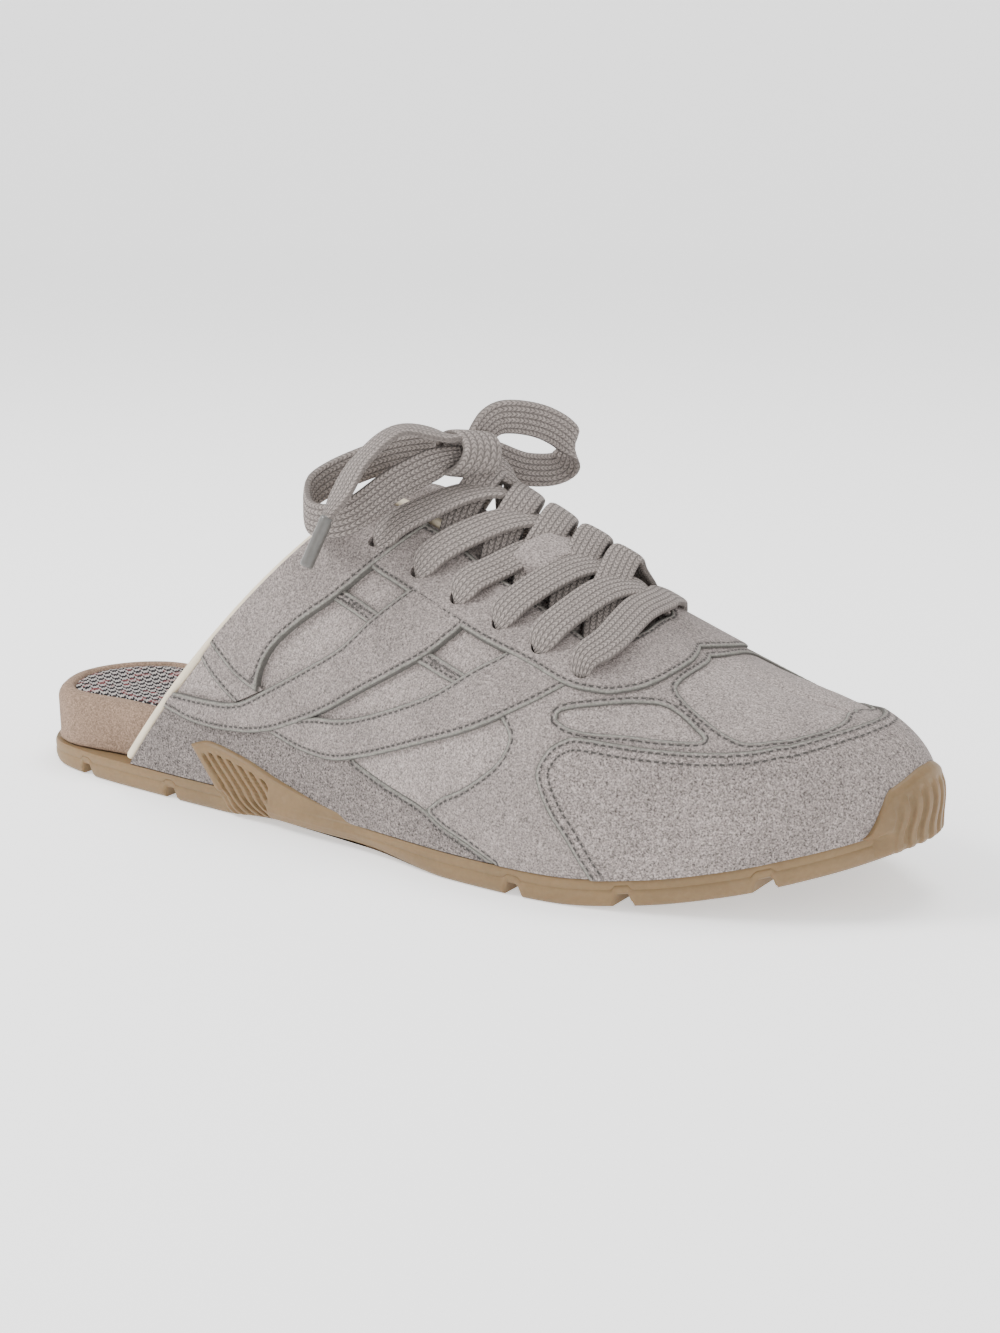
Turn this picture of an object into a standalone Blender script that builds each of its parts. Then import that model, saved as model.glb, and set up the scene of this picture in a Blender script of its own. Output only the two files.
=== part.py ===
"""A suede sneaker mule, right foot, standing on its gum sole.

Metres, +Z up, +X towards the toe, +Y towards the inner (medial) side.
The last is one function of two numbers: how far round the shoe, and how far up its wall.
Upper, overlays, tongue, piping, fin, toe bumper and laces all read that function.
"""

import math
from functools import lru_cache

import bmesh
import bpy
import numpy as np

MM = 0.001

# Driving dimensions
SOLE_LENGTH = 266 * MM
BALL_WIDTH = 92 * MM
INSTEP_HEIGHT = 93 * MM
TOE_SPRING = 15 * MM
ARCH_RISE = 1.8 * MM
SOLE_THICKNESS = 7.0 * MM
UPPER_WALL = 2.2 * MM
UPPER_INSET = 0.8 * MM
GAP = 0.3 * MM

FOOTBED_HEEL = 15.4 * MM
FOOTBED_FORE = 4.5 * MM
FOOTBED_INSET = 1.3 * MM
FOOTBED_CORNER = 2.4 * MM
FOOTBED_RIM = 5.0 * MM
SOCK_RECESS = 1.6 * MM
SOCK_THICKNESS = 1.2 * MM
WALL_LEAN = 1.5 * MM

THROAT_END = 0.585
EYELET_RADIUS = 2.3 * MM

OVERLAY_THICKNESS = 0.9 * MM
PIPING_RADIUS = 1.3 * MM
PIPING_FOOT = 0.02
TONGUE_THICKNESS = 3.4 * MM
LACE_WIDTH = 9.0 * MM
LACE_THICKNESS = 2.4 * MM
LACE_CLEAR = 0.9 * MM

FIN_THICKNESS = 1.9 * MM
FIN_RIB = 0.45 * MM
BUMPER_THICKNESS = 2.1 * MM
BUMPER_RIB = 0.5 * MM
GROOVE_WIDTH = 4.0 * MM
GROOVE_DEPTH = 3.0 * MM

# The sole's outline, round from the heel by the outer side to the toe and back by the
# inner side: share of the length, share of the ball width to the inner side.
OUTLINE = (
    (0.000, 0.00),
    (0.030, -0.215),
    (0.100, -0.300),
    (0.220, -0.350),
    (0.360, -0.395),
    (0.500, -0.470),
    (0.620, -0.530),
    (0.725, -0.535),
    (0.825, -0.455),
    (0.908, -0.340),
    (0.970, -0.180),
    (1.000, 0.015),
    (0.978, 0.190),
    (0.925, 0.330),
    (0.850, 0.425),
    (0.750, 0.455),
    (0.650, 0.415),
    (0.520, 0.320),
    (0.380, 0.265),
    (0.220, 0.300),
    (0.100, 0.290),
    (0.030, 0.200),
)
TIP = 0.5

# Underside: share of the length, share of the arch rise, share of the toe spring.
UNDERSIDE = (
    (0.00, 0.0, 0.10),
    (0.05, 0.0, 0.00),
    (0.30, 0.0, 0.00),
    (0.38, 1.0, 0.00),
    (0.50, 1.0, 0.00),
    (0.60, 0.0, 0.00),
    (0.72, 0.0, 0.00),
    (0.80, 0.0, 0.12),
    (0.87, 0.0, 0.35),
    (0.94, 0.0, 0.68),
    (1.00, 0.0, 1.00),
)

# Ridge of the last: share of the length, share of the instep height, share of the ball width.
RIDGE = (
    (0.36, 0.960, 0.000),
    (0.42, 0.985, 0.020),
    (0.47, 0.985, 0.025),
    (0.53, 0.930, 0.025),
    (0.61, 0.810, 0.020),
    (0.70, 0.690, 0.010),
    (0.78, 0.572, 0.000),
    (0.86, 0.507, 0.010),
    (0.91, 0.472, 0.020),
)
COLLAR_FOOT = 0.168
COLLAR_TOP = 0.473
TOE_TOP = 0.910

# Wall shape: place from collar 0 to toe 1, exponent of the inward run, exponent of the
# rise, bulge over the sole's edge as a share of the ball width, forward lean of the run.
WALL = (
    (0.00, 1.00, 1.00, 0.020, 0.25),
    (0.25, 1.08, 1.02, 0.028, 0.33),
    (0.50, 1.08, 1.00, 0.034, 0.47),
    (0.70, 1.06, 0.98, 0.034, 0.70),
    (0.85, 1.00, 0.94, 0.028, 0.90),
    (1.00, 0.90, 0.92, 0.008, 1.00),
)

# The lacing gap: place from collar 0 to toe 1, width from the ridge to its outer edge and
# to its inner edge as shares of the ball width.
THROAT = (
    (0.00, 0.130, 0.100),
    (0.10, 0.135, 0.100),
    (0.20, 0.150, 0.100),
    (0.30, 0.180, 0.095),
    (0.50, 0.230, 0.085),
)

# Eyelets: place from collar 0 to toe 1, distance from the gap's edge as a share of the
# ball width.
EYELETS = (
    (0.100, 0.065),
    (0.195, 0.080),
    (0.277, 0.085),
    (0.364, 0.090),
    (0.444, 0.090),
    (0.521, 0.090),
)


# The grid of the upper's wall: its stations from collar 0 to toe 1 and its rows of levels.
WALL_ROWS = 8
THROAT_FRONT = (THROAT_END - 0.058, THROAT_END - 0.03, THROAT_END - 0.008, THROAT_END)
WALL_STATIONS = sorted({*(k / 21 for k in range(22)), *THROAT_FRONT})


def column(table, x, k):
    """Column k of a table at x, straight between its rows."""
    for low, high in zip(table, table[1:]):
        if x <= high[0]:
            break
    share = min(1.0, max(0.0, (x - low[0]) / (high[0] - low[0])))
    return low[k] + (high[k] - low[k]) * share


def soft(table, x, k):
    """Column k of a table at x, along a smooth curve that never passes its rows' values."""
    i = 0
    while i < len(table) - 2 and x > table[i + 1][0]:
        i += 1
    steps = [(b[k] - a[k]) / (b[0] - a[0]) for a, b in zip(table, table[1:])]
    slopes = []
    for j in (i, i + 1):
        before, after = steps[max(j - 1, 0)], steps[min(j, len(steps) - 1)]
        slopes.append(2 * before * after / (before + after) if before * after > 0 else 0.0)
    h = table[i + 1][0] - table[i][0]
    t = min(1.0, max(0.0, (x - table[i][0]) / h))
    return (
        (2 * t**3 - 3 * t**2 + 1) * table[i][k]
        + (t**3 - 2 * t**2 + t) * h * slopes[0]
        + (3 * t**2 - 2 * t**3) * table[i + 1][k]
        + (t**3 - t**2) * h * slopes[1]
    )


@lru_cache(maxsize=None)
def outline(u, inset=0.0):
    """A point of the sole's outline, u from 0 at the heel to 0.5 at the toe and on to 1."""
    n = len(OUTLINE)
    i = int((u % 1.0) * n)
    f = (u % 1.0) * n - i
    point, run = [], []
    for k, size in enumerate((SOLE_LENGTH, BALL_WIDTH)):
        a, b, c, d = (OUTLINE[(i + j) % n][k] * size for j in (-1, 0, 1, 2))
        point.append(0.5 * (2 * b + (c - a) * f + (2 * a - 5 * b + 4 * c - d) * f**2
                            + (3 * b - a - 3 * c + d) * f**3))
        run.append((c - a) + 2 * (2 * a - 5 * b + 4 * c - d) * f
                   + 3 * (3 * b - a - 3 * c + d) * f**2)
    scale = inset / math.hypot(*run)
    return np.array((point[0] - scale * run[1], point[1] + scale * run[0]))


def underside(x):
    share = x / SOLE_LENGTH
    return ARCH_RISE * soft(UNDERSIDE, share, 1) + TOE_SPRING * soft(UNDERSIDE, share, 2)


def spring(x):
    """How far the toe spring lifts the top of the sole."""
    share = x / SOLE_LENGTH
    return TOE_SPRING * soft(UNDERSIDE, max(share, 0.5), 2)


def sole_top(x):
    return SOLE_THICKNESS + spring(x)


def outline_at(share, side):
    """The outline's u where it passes a share of the length, on side -1 outer or +1 inner."""
    low, high = 0.0, TIP
    for _ in range(40):
        mid = (low + high) / 2
        u = mid if side < 0 else 1 - mid
        if outline(u)[0] < share * SOLE_LENGTH:
            low = mid
        else:
            high = mid
    return low if side < 0 else 1 - low


FOOT_OUTER = outline_at(COLLAR_FOOT, -1)
FOOT_INNER = outline_at(COLLAR_FOOT, 1)


@lru_cache(maxsize=None)
def ridge(w):
    share = COLLAR_TOP + (TOE_TOP - COLLAR_TOP) * w
    return np.array((
        share * SOLE_LENGTH,
        soft(RIDGE, share, 2) * BALL_WIDTH,
        soft(RIDGE, share, 1) * INSTEP_HEIGHT,
    ))


@lru_cache(maxsize=None)
def foot(w, side):
    start = FOOT_OUTER if side < 0 else FOOT_INNER
    p = outline(start + (TIP - start) * w, UPPER_INSET)
    return np.array((p[0], p[1], sole_top(p[0]) + GAP))


def wall(c, v):
    """The last: c runs 0 outer collar, 1 toe tip, 2 inner collar; v runs 0 sole, 1 ridge."""
    if v > 1:
        c, v = 2 - c, 2 - v
    side = -1 if c <= 1 else 1
    w = c if c <= 1 else 2 - c
    base, top = foot(w, side), ridge(w)
    angle = v * math.pi / 2
    inward = 1 - math.cos(angle) ** column(WALL, w, 1) if v < 1 else 1.0
    rise = math.sin(angle) ** column(WALL, w, 2) if v > 0 else 0.0
    lean = column(WALL, w, 4)
    p = np.array((
        base[0] + (top[0] - base[0]) * ((1 - lean) * rise + lean * inward),
        base[1] + (top[1] - base[1]) * inward,
        base[2] + (top[2] - base[2]) * rise,
    ))
    bulge = column(WALL, w, 3) * BALL_WIDTH * math.sin(math.pi * min(1.0, 1.25 * v))
    out = base[:2] - top[:2]
    if w < 0.8:
        out = np.array((0.0, side))
    p[:2] += bulge * out / np.linalg.norm(out)
    return p


def normal(c, v):
    """The outward direction of the last at a place."""
    step = 1e-3
    if abs(c - 1) < 0.03 and v > 0.96:
        v = 0.96
    along = wall(c + step, v) - wall(c - step, v)
    up = wall(c, v + step) - wall(c, max(v - step, 0.0))
    n = np.cross(along, up)
    return n / np.linalg.norm(n)


def skin(c, v, off=0.0):
    """A point at a distance outside the last's surface, or inside it where off is negative."""
    return wall(c, v) + off * normal(c, v)


def throat_half(c):
    """From the ridge to the edge of the lacing gap, which ends in a round front."""
    w = min(c, 2 - c)
    straight = THROAT[-1][0]
    if w > THROAT_END - 1e-6:
        return 0.0
    half = column(THROAT, w, 1 if c <= 1 else 2) * BALL_WIDTH
    if w > straight:
        half *= math.sqrt(1 - ((w - straight) / (THROAT_END - straight)) ** 2)
    return half


def level(c, distance):
    """The v at a distance across from the ridge."""
    side = -1 if c <= 1 else 1
    w = c if c <= 1 else 2 - c
    across = abs(ridge(w)[1] - foot(w, side)[1])
    share = min(1.0, distance / across) ** (1 / column(WALL, w, 1))
    return math.acos(share) / (math.pi / 2)


def throat_edge(c):
    return level(c, throat_half(c))


def level_at_height(c, z):
    """The v where the wall reaches a height."""
    side = -1 if c <= 1 else 1
    w = c if c <= 1 else 2 - c
    base, top = foot(w, side)[2], ridge(w)[2]
    rise = min(1.0, max(0.0, (z - base) / (top - base)))
    return math.asin(rise ** (1 / column(WALL, w, 2))) / (math.pi / 2)


def place_on_wall(side, x, z):
    """The c and v where the wall passes a length and a height."""
    low, high = -0.4, 1.0
    v = 0.0
    for _ in range(24):
        mid = (low + high) / 2
        c = mid if side < 0 else 2 - mid
        v = level_at_height(c, z)
        if wall(c, v)[0] < x:
            low = mid
        else:
            high = mid
    return (low if side < 0 else 2 - low), v


def material(name, colour, roughness):
    made = bpy.data.materials.new(name)
    made.use_nodes = True
    shader = made.node_tree.nodes["Principled BSDF"]
    shader.inputs["Base Color"].default_value = (*colour, 1.0)
    shader.inputs["Roughness"].default_value = roughness
    shader.inputs["Metallic"].default_value = 0.0
    return made


def mesh_object(name, points, faces, look):
    bm = bmesh.new()
    verts = [bm.verts.new(p) for p in points]
    for face in faces:
        corners = [verts[i] for i in dict.fromkeys(face)]
        if len(corners) > 2:
            bm.faces.new(corners)
    bmesh.ops.remove_doubles(bm, verts=bm.verts, dist=1e-6)
    bmesh.ops.recalc_face_normals(bm, faces=bm.faces)
    mesh = bpy.data.meshes.new(name)
    bm.to_mesh(mesh)
    bm.free()
    mesh.shade_smooth()
    mesh.set_sharp_from_angle(angle=math.radians(40))
    obj = bpy.data.objects.new(name, mesh)
    obj.data.materials.append(look)
    bpy.context.scene.collection.objects.link(obj)
    return obj


def stacked(name, rings, look):
    """A solid through closed rings from its underside to its top, with laddered ends."""
    n = len(rings[0])
    points = [p for ring in rings for p in ring]
    faces = []
    for k in range(len(rings) - 1):
        for i in range(n):
            j = (i + 1) % n
            faces.append((k * n + i, k * n + j, (k + 1) * n + j, (k + 1) * n + i))
    for base in (0, (len(rings) - 1) * n):
        for i in range(n // 2):
            faces.append((base + i, base + i + 1, base + (n - i - 1) % n, base + (n - i) % n))
    return mesh_object(name, points, faces, look)


def shell(name, outer, inner, look, closed=None):
    """A closed sheet between two grids of points of the same size.

    closed marks the rows whose last points meet those of another row and need no edge.
    """
    rows, cols = len(outer), len(outer[0])
    points = [p for grid in (outer, inner) for row in grid for p in row]
    half = rows * cols
    faces = []
    for r in range(rows - 1):
        for k in range(cols - 1):
            a, b = r * cols + k, (r + 1) * cols + k
            faces.append((a, b, b + 1, a + 1))
            faces.append((half + a, half + a + 1, half + b + 1, half + b))
    edge = [(r * cols, (r + 1) * cols) for r in range(rows - 1)]
    edge += [(r * cols + cols - 1, (r + 1) * cols + cols - 1) for r in range(rows - 1)
             if not (closed and closed[r] and closed[r + 1])]
    edge += [(k, k + 1) for k in range(cols - 1)]
    edge += [((rows - 1) * cols + k, (rows - 1) * cols + k + 1) for k in range(cols - 1)]
    for a, b in edge:
        if np.linalg.norm(points[a] - points[b]) > 1e-6:
            faces.append((a, b, half + b, half + a))
    return mesh_object(name, points, faces, look)


def wall_levels(c):
    """The levels of the upper's grid at a place, from the sole to the throat's edge."""
    top = throat_edge(c)
    return [top * k / WALL_ROWS for k in range(WALL_ROWS + 1)]


def between(values, low, high):
    """The values that lie clear inside a span."""
    return [v for v in values if low + 0.004 < v < high - 0.004]


def both_sides(stations):
    """Stations of w on the outer side and their mirror on the inner side."""
    return list(stations) + [2 - w for w in reversed(list(stations)) if w < 1]


def wall_sheet(name, stations, bottom, top, near, far, look):
    """A sheet over the wall's grid, near to far off the last, cut to levels bottom(c) to top(c).

    Where the levels reach 1 the outer and inner sides share their ridge points and need no edge.
    """
    outer, inner = [], []
    for c in stations:
        levels = [min(top(c), max(bottom(c), v)) for v in wall_levels(c)]
        outer.append([skin(c, v, far) for v in levels])
        inner.append([skin(c, v, near) for v in levels])
    closed = [top(c) > 0.9999 for c in stations]
    return shell(name, outer, inner, look, closed)


def overlay(name, table, sides, top, look):
    """A piece of suede on the upper: its rows hold place, lower edge level and upper edge level."""
    first, last = table[0][0], table[-1][0]
    own = [row[0] for row in table]
    clear = [w for w in between(WALL_STATIONS, first, last)
             if min(abs(w - x) for x in own) > 0.004]
    stations = sorted(own + clear)
    if sides == 0:
        stations = both_sides(stations)
    elif sides > 0:
        stations = [2 - w for w in reversed(stations)]
    return wall_sheet(name, stations, lambda c: column(table, min(c, 2 - c), 1), top,
                      GAP, GAP + OVERLAY_THICKNESS, look)


def swept(name, path, ups, width, thickness, look, sizes=None):
    """A flat lace with rounded edges along a path; ups point out of its flat side.

    sizes holds the share of the full width at each point.
    """
    path = [np.array(p, float) for p in path]
    rings = []
    n = len(path)
    profile = ((0.5, 0.0), (0.32, 0.5), (-0.32, 0.5), (-0.5, 0.0), (-0.32, -0.5), (0.32, -0.5))
    for i, p in enumerate(path):
        run = path[min(i + 1, n - 1)] - path[max(i - 1, 0)]
        run = run / np.linalg.norm(run)
        up = np.array(ups[i], float)
        up = up - run * up.dot(run)
        up = up / np.linalg.norm(up)
        across = np.cross(run, up)
        wide = width * (sizes[i] if sizes else 1.0)
        rings.append([p + a * wide * across + b * thickness * up for a, b in profile])
    points = [p for ring in rings for p in ring]
    m = len(profile)
    faces = [tuple(range(m)), tuple(range((n - 1) * m, n * m))]
    for k in range(n - 1):
        for i in range(m):
            j = (i + 1) % m
            faces.append((k * m + i, k * m + j, (k + 1) * m + j, (k + 1) * m + i))
    return mesh_object(name, points, faces, look)


def tube(name, path, radius, sides, look):
    """A round tube with flat ends along a path."""
    path = [np.array(p, float) for p in path]
    n = len(path)
    points, faces = [], []
    up = np.array((0.0, 0.0, 1.0))
    for i, p in enumerate(path):
        run = path[min(i + 1, n - 1)] - path[max(i - 1, 0)]
        run = run / np.linalg.norm(run)
        up = up - run * up.dot(run)
        up = up / np.linalg.norm(up)
        across = np.cross(run, up)
        for k in range(sides):
            a = 2 * math.pi * k / sides
            points.append(p + radius * (math.cos(a) * across + math.sin(a) * up))
    for i in range(n - 1):
        for k in range(sides):
            j = (k + 1) % sides
            faces.append((i * sides + k, i * sides + j, (i + 1) * sides + j, (i + 1) * sides + k))
    faces += [tuple(range(sides)), tuple(range((n - 1) * sides, n * sides))]
    return mesh_object(name, points, faces, look)


def boolean(target, tool, operation):
    tool.hide_render = True
    tool.display_type = "WIRE"
    modifier = target.modifiers.new(tool.name, "BOOLEAN")
    modifier.operation = operation
    modifier.solver = "EXACT"
    modifier.object = tool


def smooth_path(points, count):
    """Points evenly along a smooth curve through a few."""
    pts = [np.array(p, float) for p in points]
    pts = [2 * pts[0] - pts[1]] + pts + [2 * pts[-1] - pts[-2]]
    fine = []
    for i in range(1, len(pts) - 2):
        a, b, c, d = pts[i - 1:i + 3]
        for f in np.linspace(0, 1, 16, endpoint=False):
            fine.append(0.5 * (2 * b + (c - a) * f + (2 * a - 5 * b + 4 * c - d) * f**2
                               + (3 * b - a - 3 * c + d) * f**3))
    fine.append(pts[-2])
    fine = np.array(fine)
    along = np.concatenate([[0], np.cumsum(np.linalg.norm(np.diff(fine, axis=0), axis=1))])
    at = np.linspace(0, along[-1], count)
    return [np.array([np.interp(s, along, fine[:, k]) for k in range(3)]) for s in at]


# Points in each ring of the sole and footbed, and how far in the covered footbed stands.
RING_POINTS = 64
FOOTBED_SIDE = UPPER_INSET + UPPER_WALL + 2 * GAP + WALL_LEAN


def ring(inset, height):
    """A closed ring of points round the sole: inset(u) in from its outline, at height(x)."""
    points = []
    for i in range(RING_POINTS):
        u = i / RING_POINTS
        p = outline(u, inset(u))
        points.append(np.array((p[0], p[1], height(p[0]))))
    return points


def arch_share(u):
    return soft(UNDERSIDE, outline(u)[0] / SOLE_LENGTH, 1)


def wall_strip(name, rows, look):
    """A closed strip outside the wall: rows of (outer point, inner point) at each station."""
    outer = [[pair[0] for pair in row] for row in rows]
    inner = [[pair[1] for pair in row] for row in rows]
    return shell(name, outer, inner, look)


FIN_FROM, FIN_TO = 0.295, 0.54
FIN_TIP_BACK = 0.036
FIN_RISE = 12.0 * MM
FIN_RIBS = 4.5
FIN_ROOT = 2.5 * MM
SOLE_LIP = 0.5 * MM

# The fin's top line: share of its run, share of its rise.
FIN_TOP = ((0.0, 0.84), (0.09, 1.0), (0.25, 0.84), (0.45, 0.50), (0.70, 0.20), (1.0, 0.06))


def fin(look):
    """The rubber fin that rises up the outer waist, with slanting ribs."""
    stations, levels = 17, 5
    rows = []
    for i in range(stations):
        s = i / (stations - 1)
        rise = FIN_RISE * column(FIN_TOP, s, 1)
        row = []
        for k in range(levels):
            t = k / (levels - 1)
            x = SOLE_LENGTH * (FIN_FROM + (FIN_TO - FIN_FROM) * s - FIN_TIP_BACK * t * (1 - s))
            rib = FIN_RIB * math.cos(2 * math.pi * (FIN_RIBS * s - 0.25 * t))
            proud = FIN_THICKNESS * (1 - 0.25 * t) + rib * (1 - s)
            u = outline_at(x / SOLE_LENGTH, -1)
            top = sole_top(outline(u)[0])
            z = top + GAP + rise * t
            if k == 0:
                out = outline(u, -proud)
                into = outline(u, FIN_ROOT)
                row.append((np.array((*out, top - FIN_ROOT)), np.array((*into, top - FIN_ROOT))))
                into = outline(u, UPPER_INSET - GAP)
                row.append((np.array((*out, top - SOLE_LIP)), np.array((*into, top - SOLE_LIP))))
                continue
            c, v = place_on_wall(-1, x, z)
            row.append((skin(c, v, GAP + proud), skin(c, v, GAP)))
        rows.append(row)
    return wall_strip("fin", rows, look)


BUMPER_FROM = 0.885
BUMPER_RISE = 11.0 * MM
BUMPER_CLIMB = 0.06
BUMPER_LOW = 0.6 * MM
BUMPER_RIBS = 11


def bumper(look):
    """The ribbed rubber wrap that climbs over the toe."""
    stations, levels = 33, 5
    clear = 2 * GAP + OVERLAY_THICKNESS
    rows = []
    for i in range(stations):
        c = BUMPER_FROM + (2 - 2 * BUMPER_FROM) * i / (stations - 1)
        w = min(c, 2 - c)
        side = -1 if c <= 1 else 1
        start = FOOT_OUTER if side < 0 else FOOT_INNER
        u = start + (TIP - start) * w
        climb = min(1.0, (w - BUMPER_FROM) / BUMPER_CLIMB)
        rise = BUMPER_LOW + BUMPER_RISE * math.sin(climb * math.pi / 2) ** 0.9
        rib = BUMPER_RIB * math.cos(2 * math.pi * BUMPER_RIBS * i / (stations - 1)) * climb
        row = []
        for k in range(levels):
            t = k / (levels - 1)
            proud = BUMPER_THICKNESS * (1 - 0.35 * t) + rib * math.sin(math.pi * (0.15 + 0.75 * t))
            top = sole_top(outline(u)[0])
            if k == 0:
                out = outline(u, UPPER_INSET - clear - proud)
                into = outline(u, FIN_ROOT)
                row.append((np.array((*out, top - FIN_ROOT)), np.array((*into, top - FIN_ROOT))))
                into = outline(u, UPPER_INSET - clear)
                row.append((np.array((*out, top - SOLE_LIP)), np.array((*into, top - SOLE_LIP))))
                continue
            v = level_at_height(c, top + GAP + rise * t)
            row.append((skin(c, v, clear + proud), skin(c, v, clear)))
        rows.append(row)
    return wall_strip("toe_bumper", rows, look)


GROOVES = (0.098, 0.228, 0.680, 0.785, 0.900)


def outsole(look):
    arch_in = 1.8 * MM
    sole = stacked("outsole", [
        ring(lambda u: 1.4 * MM + arch_in * arch_share(u), underside),
        ring(lambda u: 0.3 * MM + 0.9 * arch_in * arch_share(u), lambda x: underside(x) + 0.9 * MM),
        ring(lambda u: 0.2 * arch_in * arch_share(u), lambda x: underside(x) + 2.6 * MM),
        ring(lambda u: 0.0, lambda x: sole_top(x) - 0.8 * MM),
        ring(lambda u: 0.3 * MM, sole_top),
    ], look)
    boolean(sole, fin(look), "UNION")
    boolean(sole, bumper(look), "UNION")
    for k, share in enumerate(GROOVES):
        x = share * SOLE_LENGTH
        top = underside(x) + GROOVE_DEPTH
        low = -5 * MM
        half = BALL_WIDTH
        xs = (x - GROOVE_WIDTH / 2, x + GROOVE_WIDTH / 2)
        corners = [np.array((a, b, z)) for z in (low, top) for b in (-half, half) for a in xs]
        faces = ((0, 1, 3, 2), (4, 5, 7, 6), (0, 1, 5, 4), (2, 3, 7, 6), (0, 2, 6, 4), (1, 3, 7, 5))
        boolean(sole, mesh_object(f"groove_{k}", corners, faces, look), "DIFFERENCE")
    return sole


# The footbed's thickness: share of the length, share from forefoot to heel thickness.
FOOTBED = ((0.0, 1.0), (0.20, 1.0), (0.36, 0.85), (0.50, 0.45), (0.62, 0.12), (0.70, 0.0), (1.0, 0.0))
FOOTBED_STEP_BACK = 0.06
FOOTBED_STEP_AHEAD = 0.025


def footbed_side(u):
    """How far in from the sole's outline the footbed stands: more where the upper covers it."""
    share = outline(u)[0] / SOLE_LENGTH
    run = COLLAR_FOOT - FOOTBED_STEP_AHEAD - FOOTBED_STEP_BACK
    t = min(1.0, max(0.0, (share - FOOTBED_STEP_BACK) / run))
    return FOOTBED_INSET + (FOOTBED_SIDE - FOOTBED_INSET) * t * t * (3 - 2 * t)


def footbed_top(x):
    share = soft(FOOTBED, x / SOLE_LENGTH, 1)
    return sole_top(x) + GAP + FOOTBED_FORE + (FOOTBED_HEEL - FOOTBED_FORE) * share


def footbed(look):
    corner, rim = FOOTBED_CORNER, FOOTBED_RIM
    return stacked("footbed", [
        ring(lambda u: footbed_side(u) + 0.5 * MM, lambda x: sole_top(x) + GAP),
        ring(footbed_side, lambda x: sole_top(x) + GAP + 0.6 * MM),
        ring(footbed_side, lambda x: footbed_top(x) - corner),
        ring(lambda u: footbed_side(u) + 0.3 * corner, lambda x: footbed_top(x) - 0.3 * corner),
        ring(lambda u: footbed_side(u) + corner, footbed_top),
        ring(lambda u: footbed_side(u) + rim - 0.7 * MM, lambda x: footbed_top(x) - 0.3 * MM),
        ring(lambda u: footbed_side(u) + rim, lambda x: footbed_top(x) - SOCK_RECESS),
    ], look)


def sock(look):
    edge = FOOTBED_RIM + GAP
    floor = GAP - SOCK_RECESS
    return stacked("sock_liner", [
        ring(lambda u: footbed_side(u) + edge, lambda x: footbed_top(x) + floor),
        ring(lambda u: footbed_side(u) + edge,
             lambda x: footbed_top(x) + floor + SOCK_THICKNESS - 0.4 * MM),
        ring(lambda u: footbed_side(u) + edge + 0.5 * MM,
             lambda x: footbed_top(x) + floor + SOCK_THICKNESS),
    ], look)


def eyelet(c):
    """The distance from the ridge to the middle of the eyelet row."""
    return throat_half(c) + column(EYELETS, min(c, 2 - c), 1) * BALL_WIDTH


def punch(name, c, look):
    v = level(c, eyelet(c))
    middle, out = skin(c, v), normal(c, v)
    return tube(name, [middle - 6 * MM * out, middle + 4 * MM * out], EYELET_RADIUS, 6, look)


def upper(look):
    return wall_sheet("upper", both_sides(WALL_STATIONS), lambda c: 0.0, throat_edge,
                      -UPPER_WALL, 0.0, look)


# Lower edge of the eyestay: place along the wall, level.
EYESTAY = ((0.07, 0.585), (0.20, 0.575), (0.30, 0.580), (0.41, 0.560), (0.50, 0.545), (0.56, 0.550),
           (0.61, 0.610), (0.65, 0.780), (0.675, 1.0))
EDGE_IN = 0.012


def eyestay(look):
    def high(c):
        half = throat_half(c)
        return level(c, half) - (EDGE_IN if half > 0 else 0.0)

    return overlay("eyestay", EYESTAY, 0, high, look)


# Toe guard and side bands: place along the wall, lower edge level, upper edge level.
GUARD = ((0.512, 0.30, 0.33), (0.525, 0.22, 0.36), (0.541, 0.16, 0.38), (0.557, 0.08, 0.39),
         (0.58, 0.0, 0.40), (0.64, 0.0, 0.395), (0.70, 0.0, 0.38), (0.76, 0.0, 0.39),
         (0.81, 0.0, 0.425), (0.89, 0.0, 0.51), (1.0, 0.0, 0.67))
REAR_BAND = ((0.03, 0.120, 0.170), (0.088, 0.116, 0.182), (0.123, 0.132, 0.235),
             (0.143, 0.145, 0.30), (0.17, 0.175, 0.39), (0.213, 0.24, 0.545), (0.245, 0.315, 0.555),
             (0.28, 0.405, 0.56), (0.315, 0.51, 0.56))
FRONT_BAND = ((0.18, 0.138, 0.168), (0.20, 0.132, 0.198), (0.226, 0.13, 0.228), (0.255, 0.146, 0.258),
              (0.296, 0.186, 0.318), (0.349, 0.259, 0.42), (0.399, 0.324, 0.53), (0.439, 0.377, 0.54),
              (0.475, 0.45, 0.53), (0.495, 0.50, 0.525))


def banded(name, table, sides, look):
    return overlay(name, table, sides, lambda c: column(table, min(c, 2 - c), 2), look)


TONGUE_BACK = -0.095
TONGUE_FRONT = 0.56
TONGUE_SLANT = 0.13


def tongue(look):
    """The padded tongue: it lies under the lacing gap and stands past the collar."""
    rows, cols = 15, 8
    off = UPPER_WALL + 2 * GAP
    outer, inner = [], []
    for i in range(rows + 1):
        w = TONGUE_BACK + (TONGUE_FRONT - TONGUE_BACK) * i / rows
        half = (20.0 - 8.0 * i / rows) * MM
        half *= math.sqrt(max(0.0, 1 - (1 - min(1.0, (i + 0.9) / 3.2)) ** 2 * 0.6))
        fill = min(1.0, (i + 0.5) / 2.0, (rows - i + 0.8) / 2.0)
        top_row, low_row = [], []
        for k in range(cols + 1):
            q = 2 * k / cols - 1
            across = w + TONGUE_SLANT * abs(q) ** 1.3 * (1 - i / rows)
            c = across if q <= 0 else 2 - across
            v = level(c, abs(q) * half)
            thick = TONGUE_THICKNESS * fill * (1 - 0.75 * abs(q) ** 4)
            top_row.append(skin(c, v, -off))
            low_row.append(skin(c, v, -off - thick))
        outer.append(top_row)
        inner.append(low_row)
    return shell("tongue", outer, inner, look)


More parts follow.
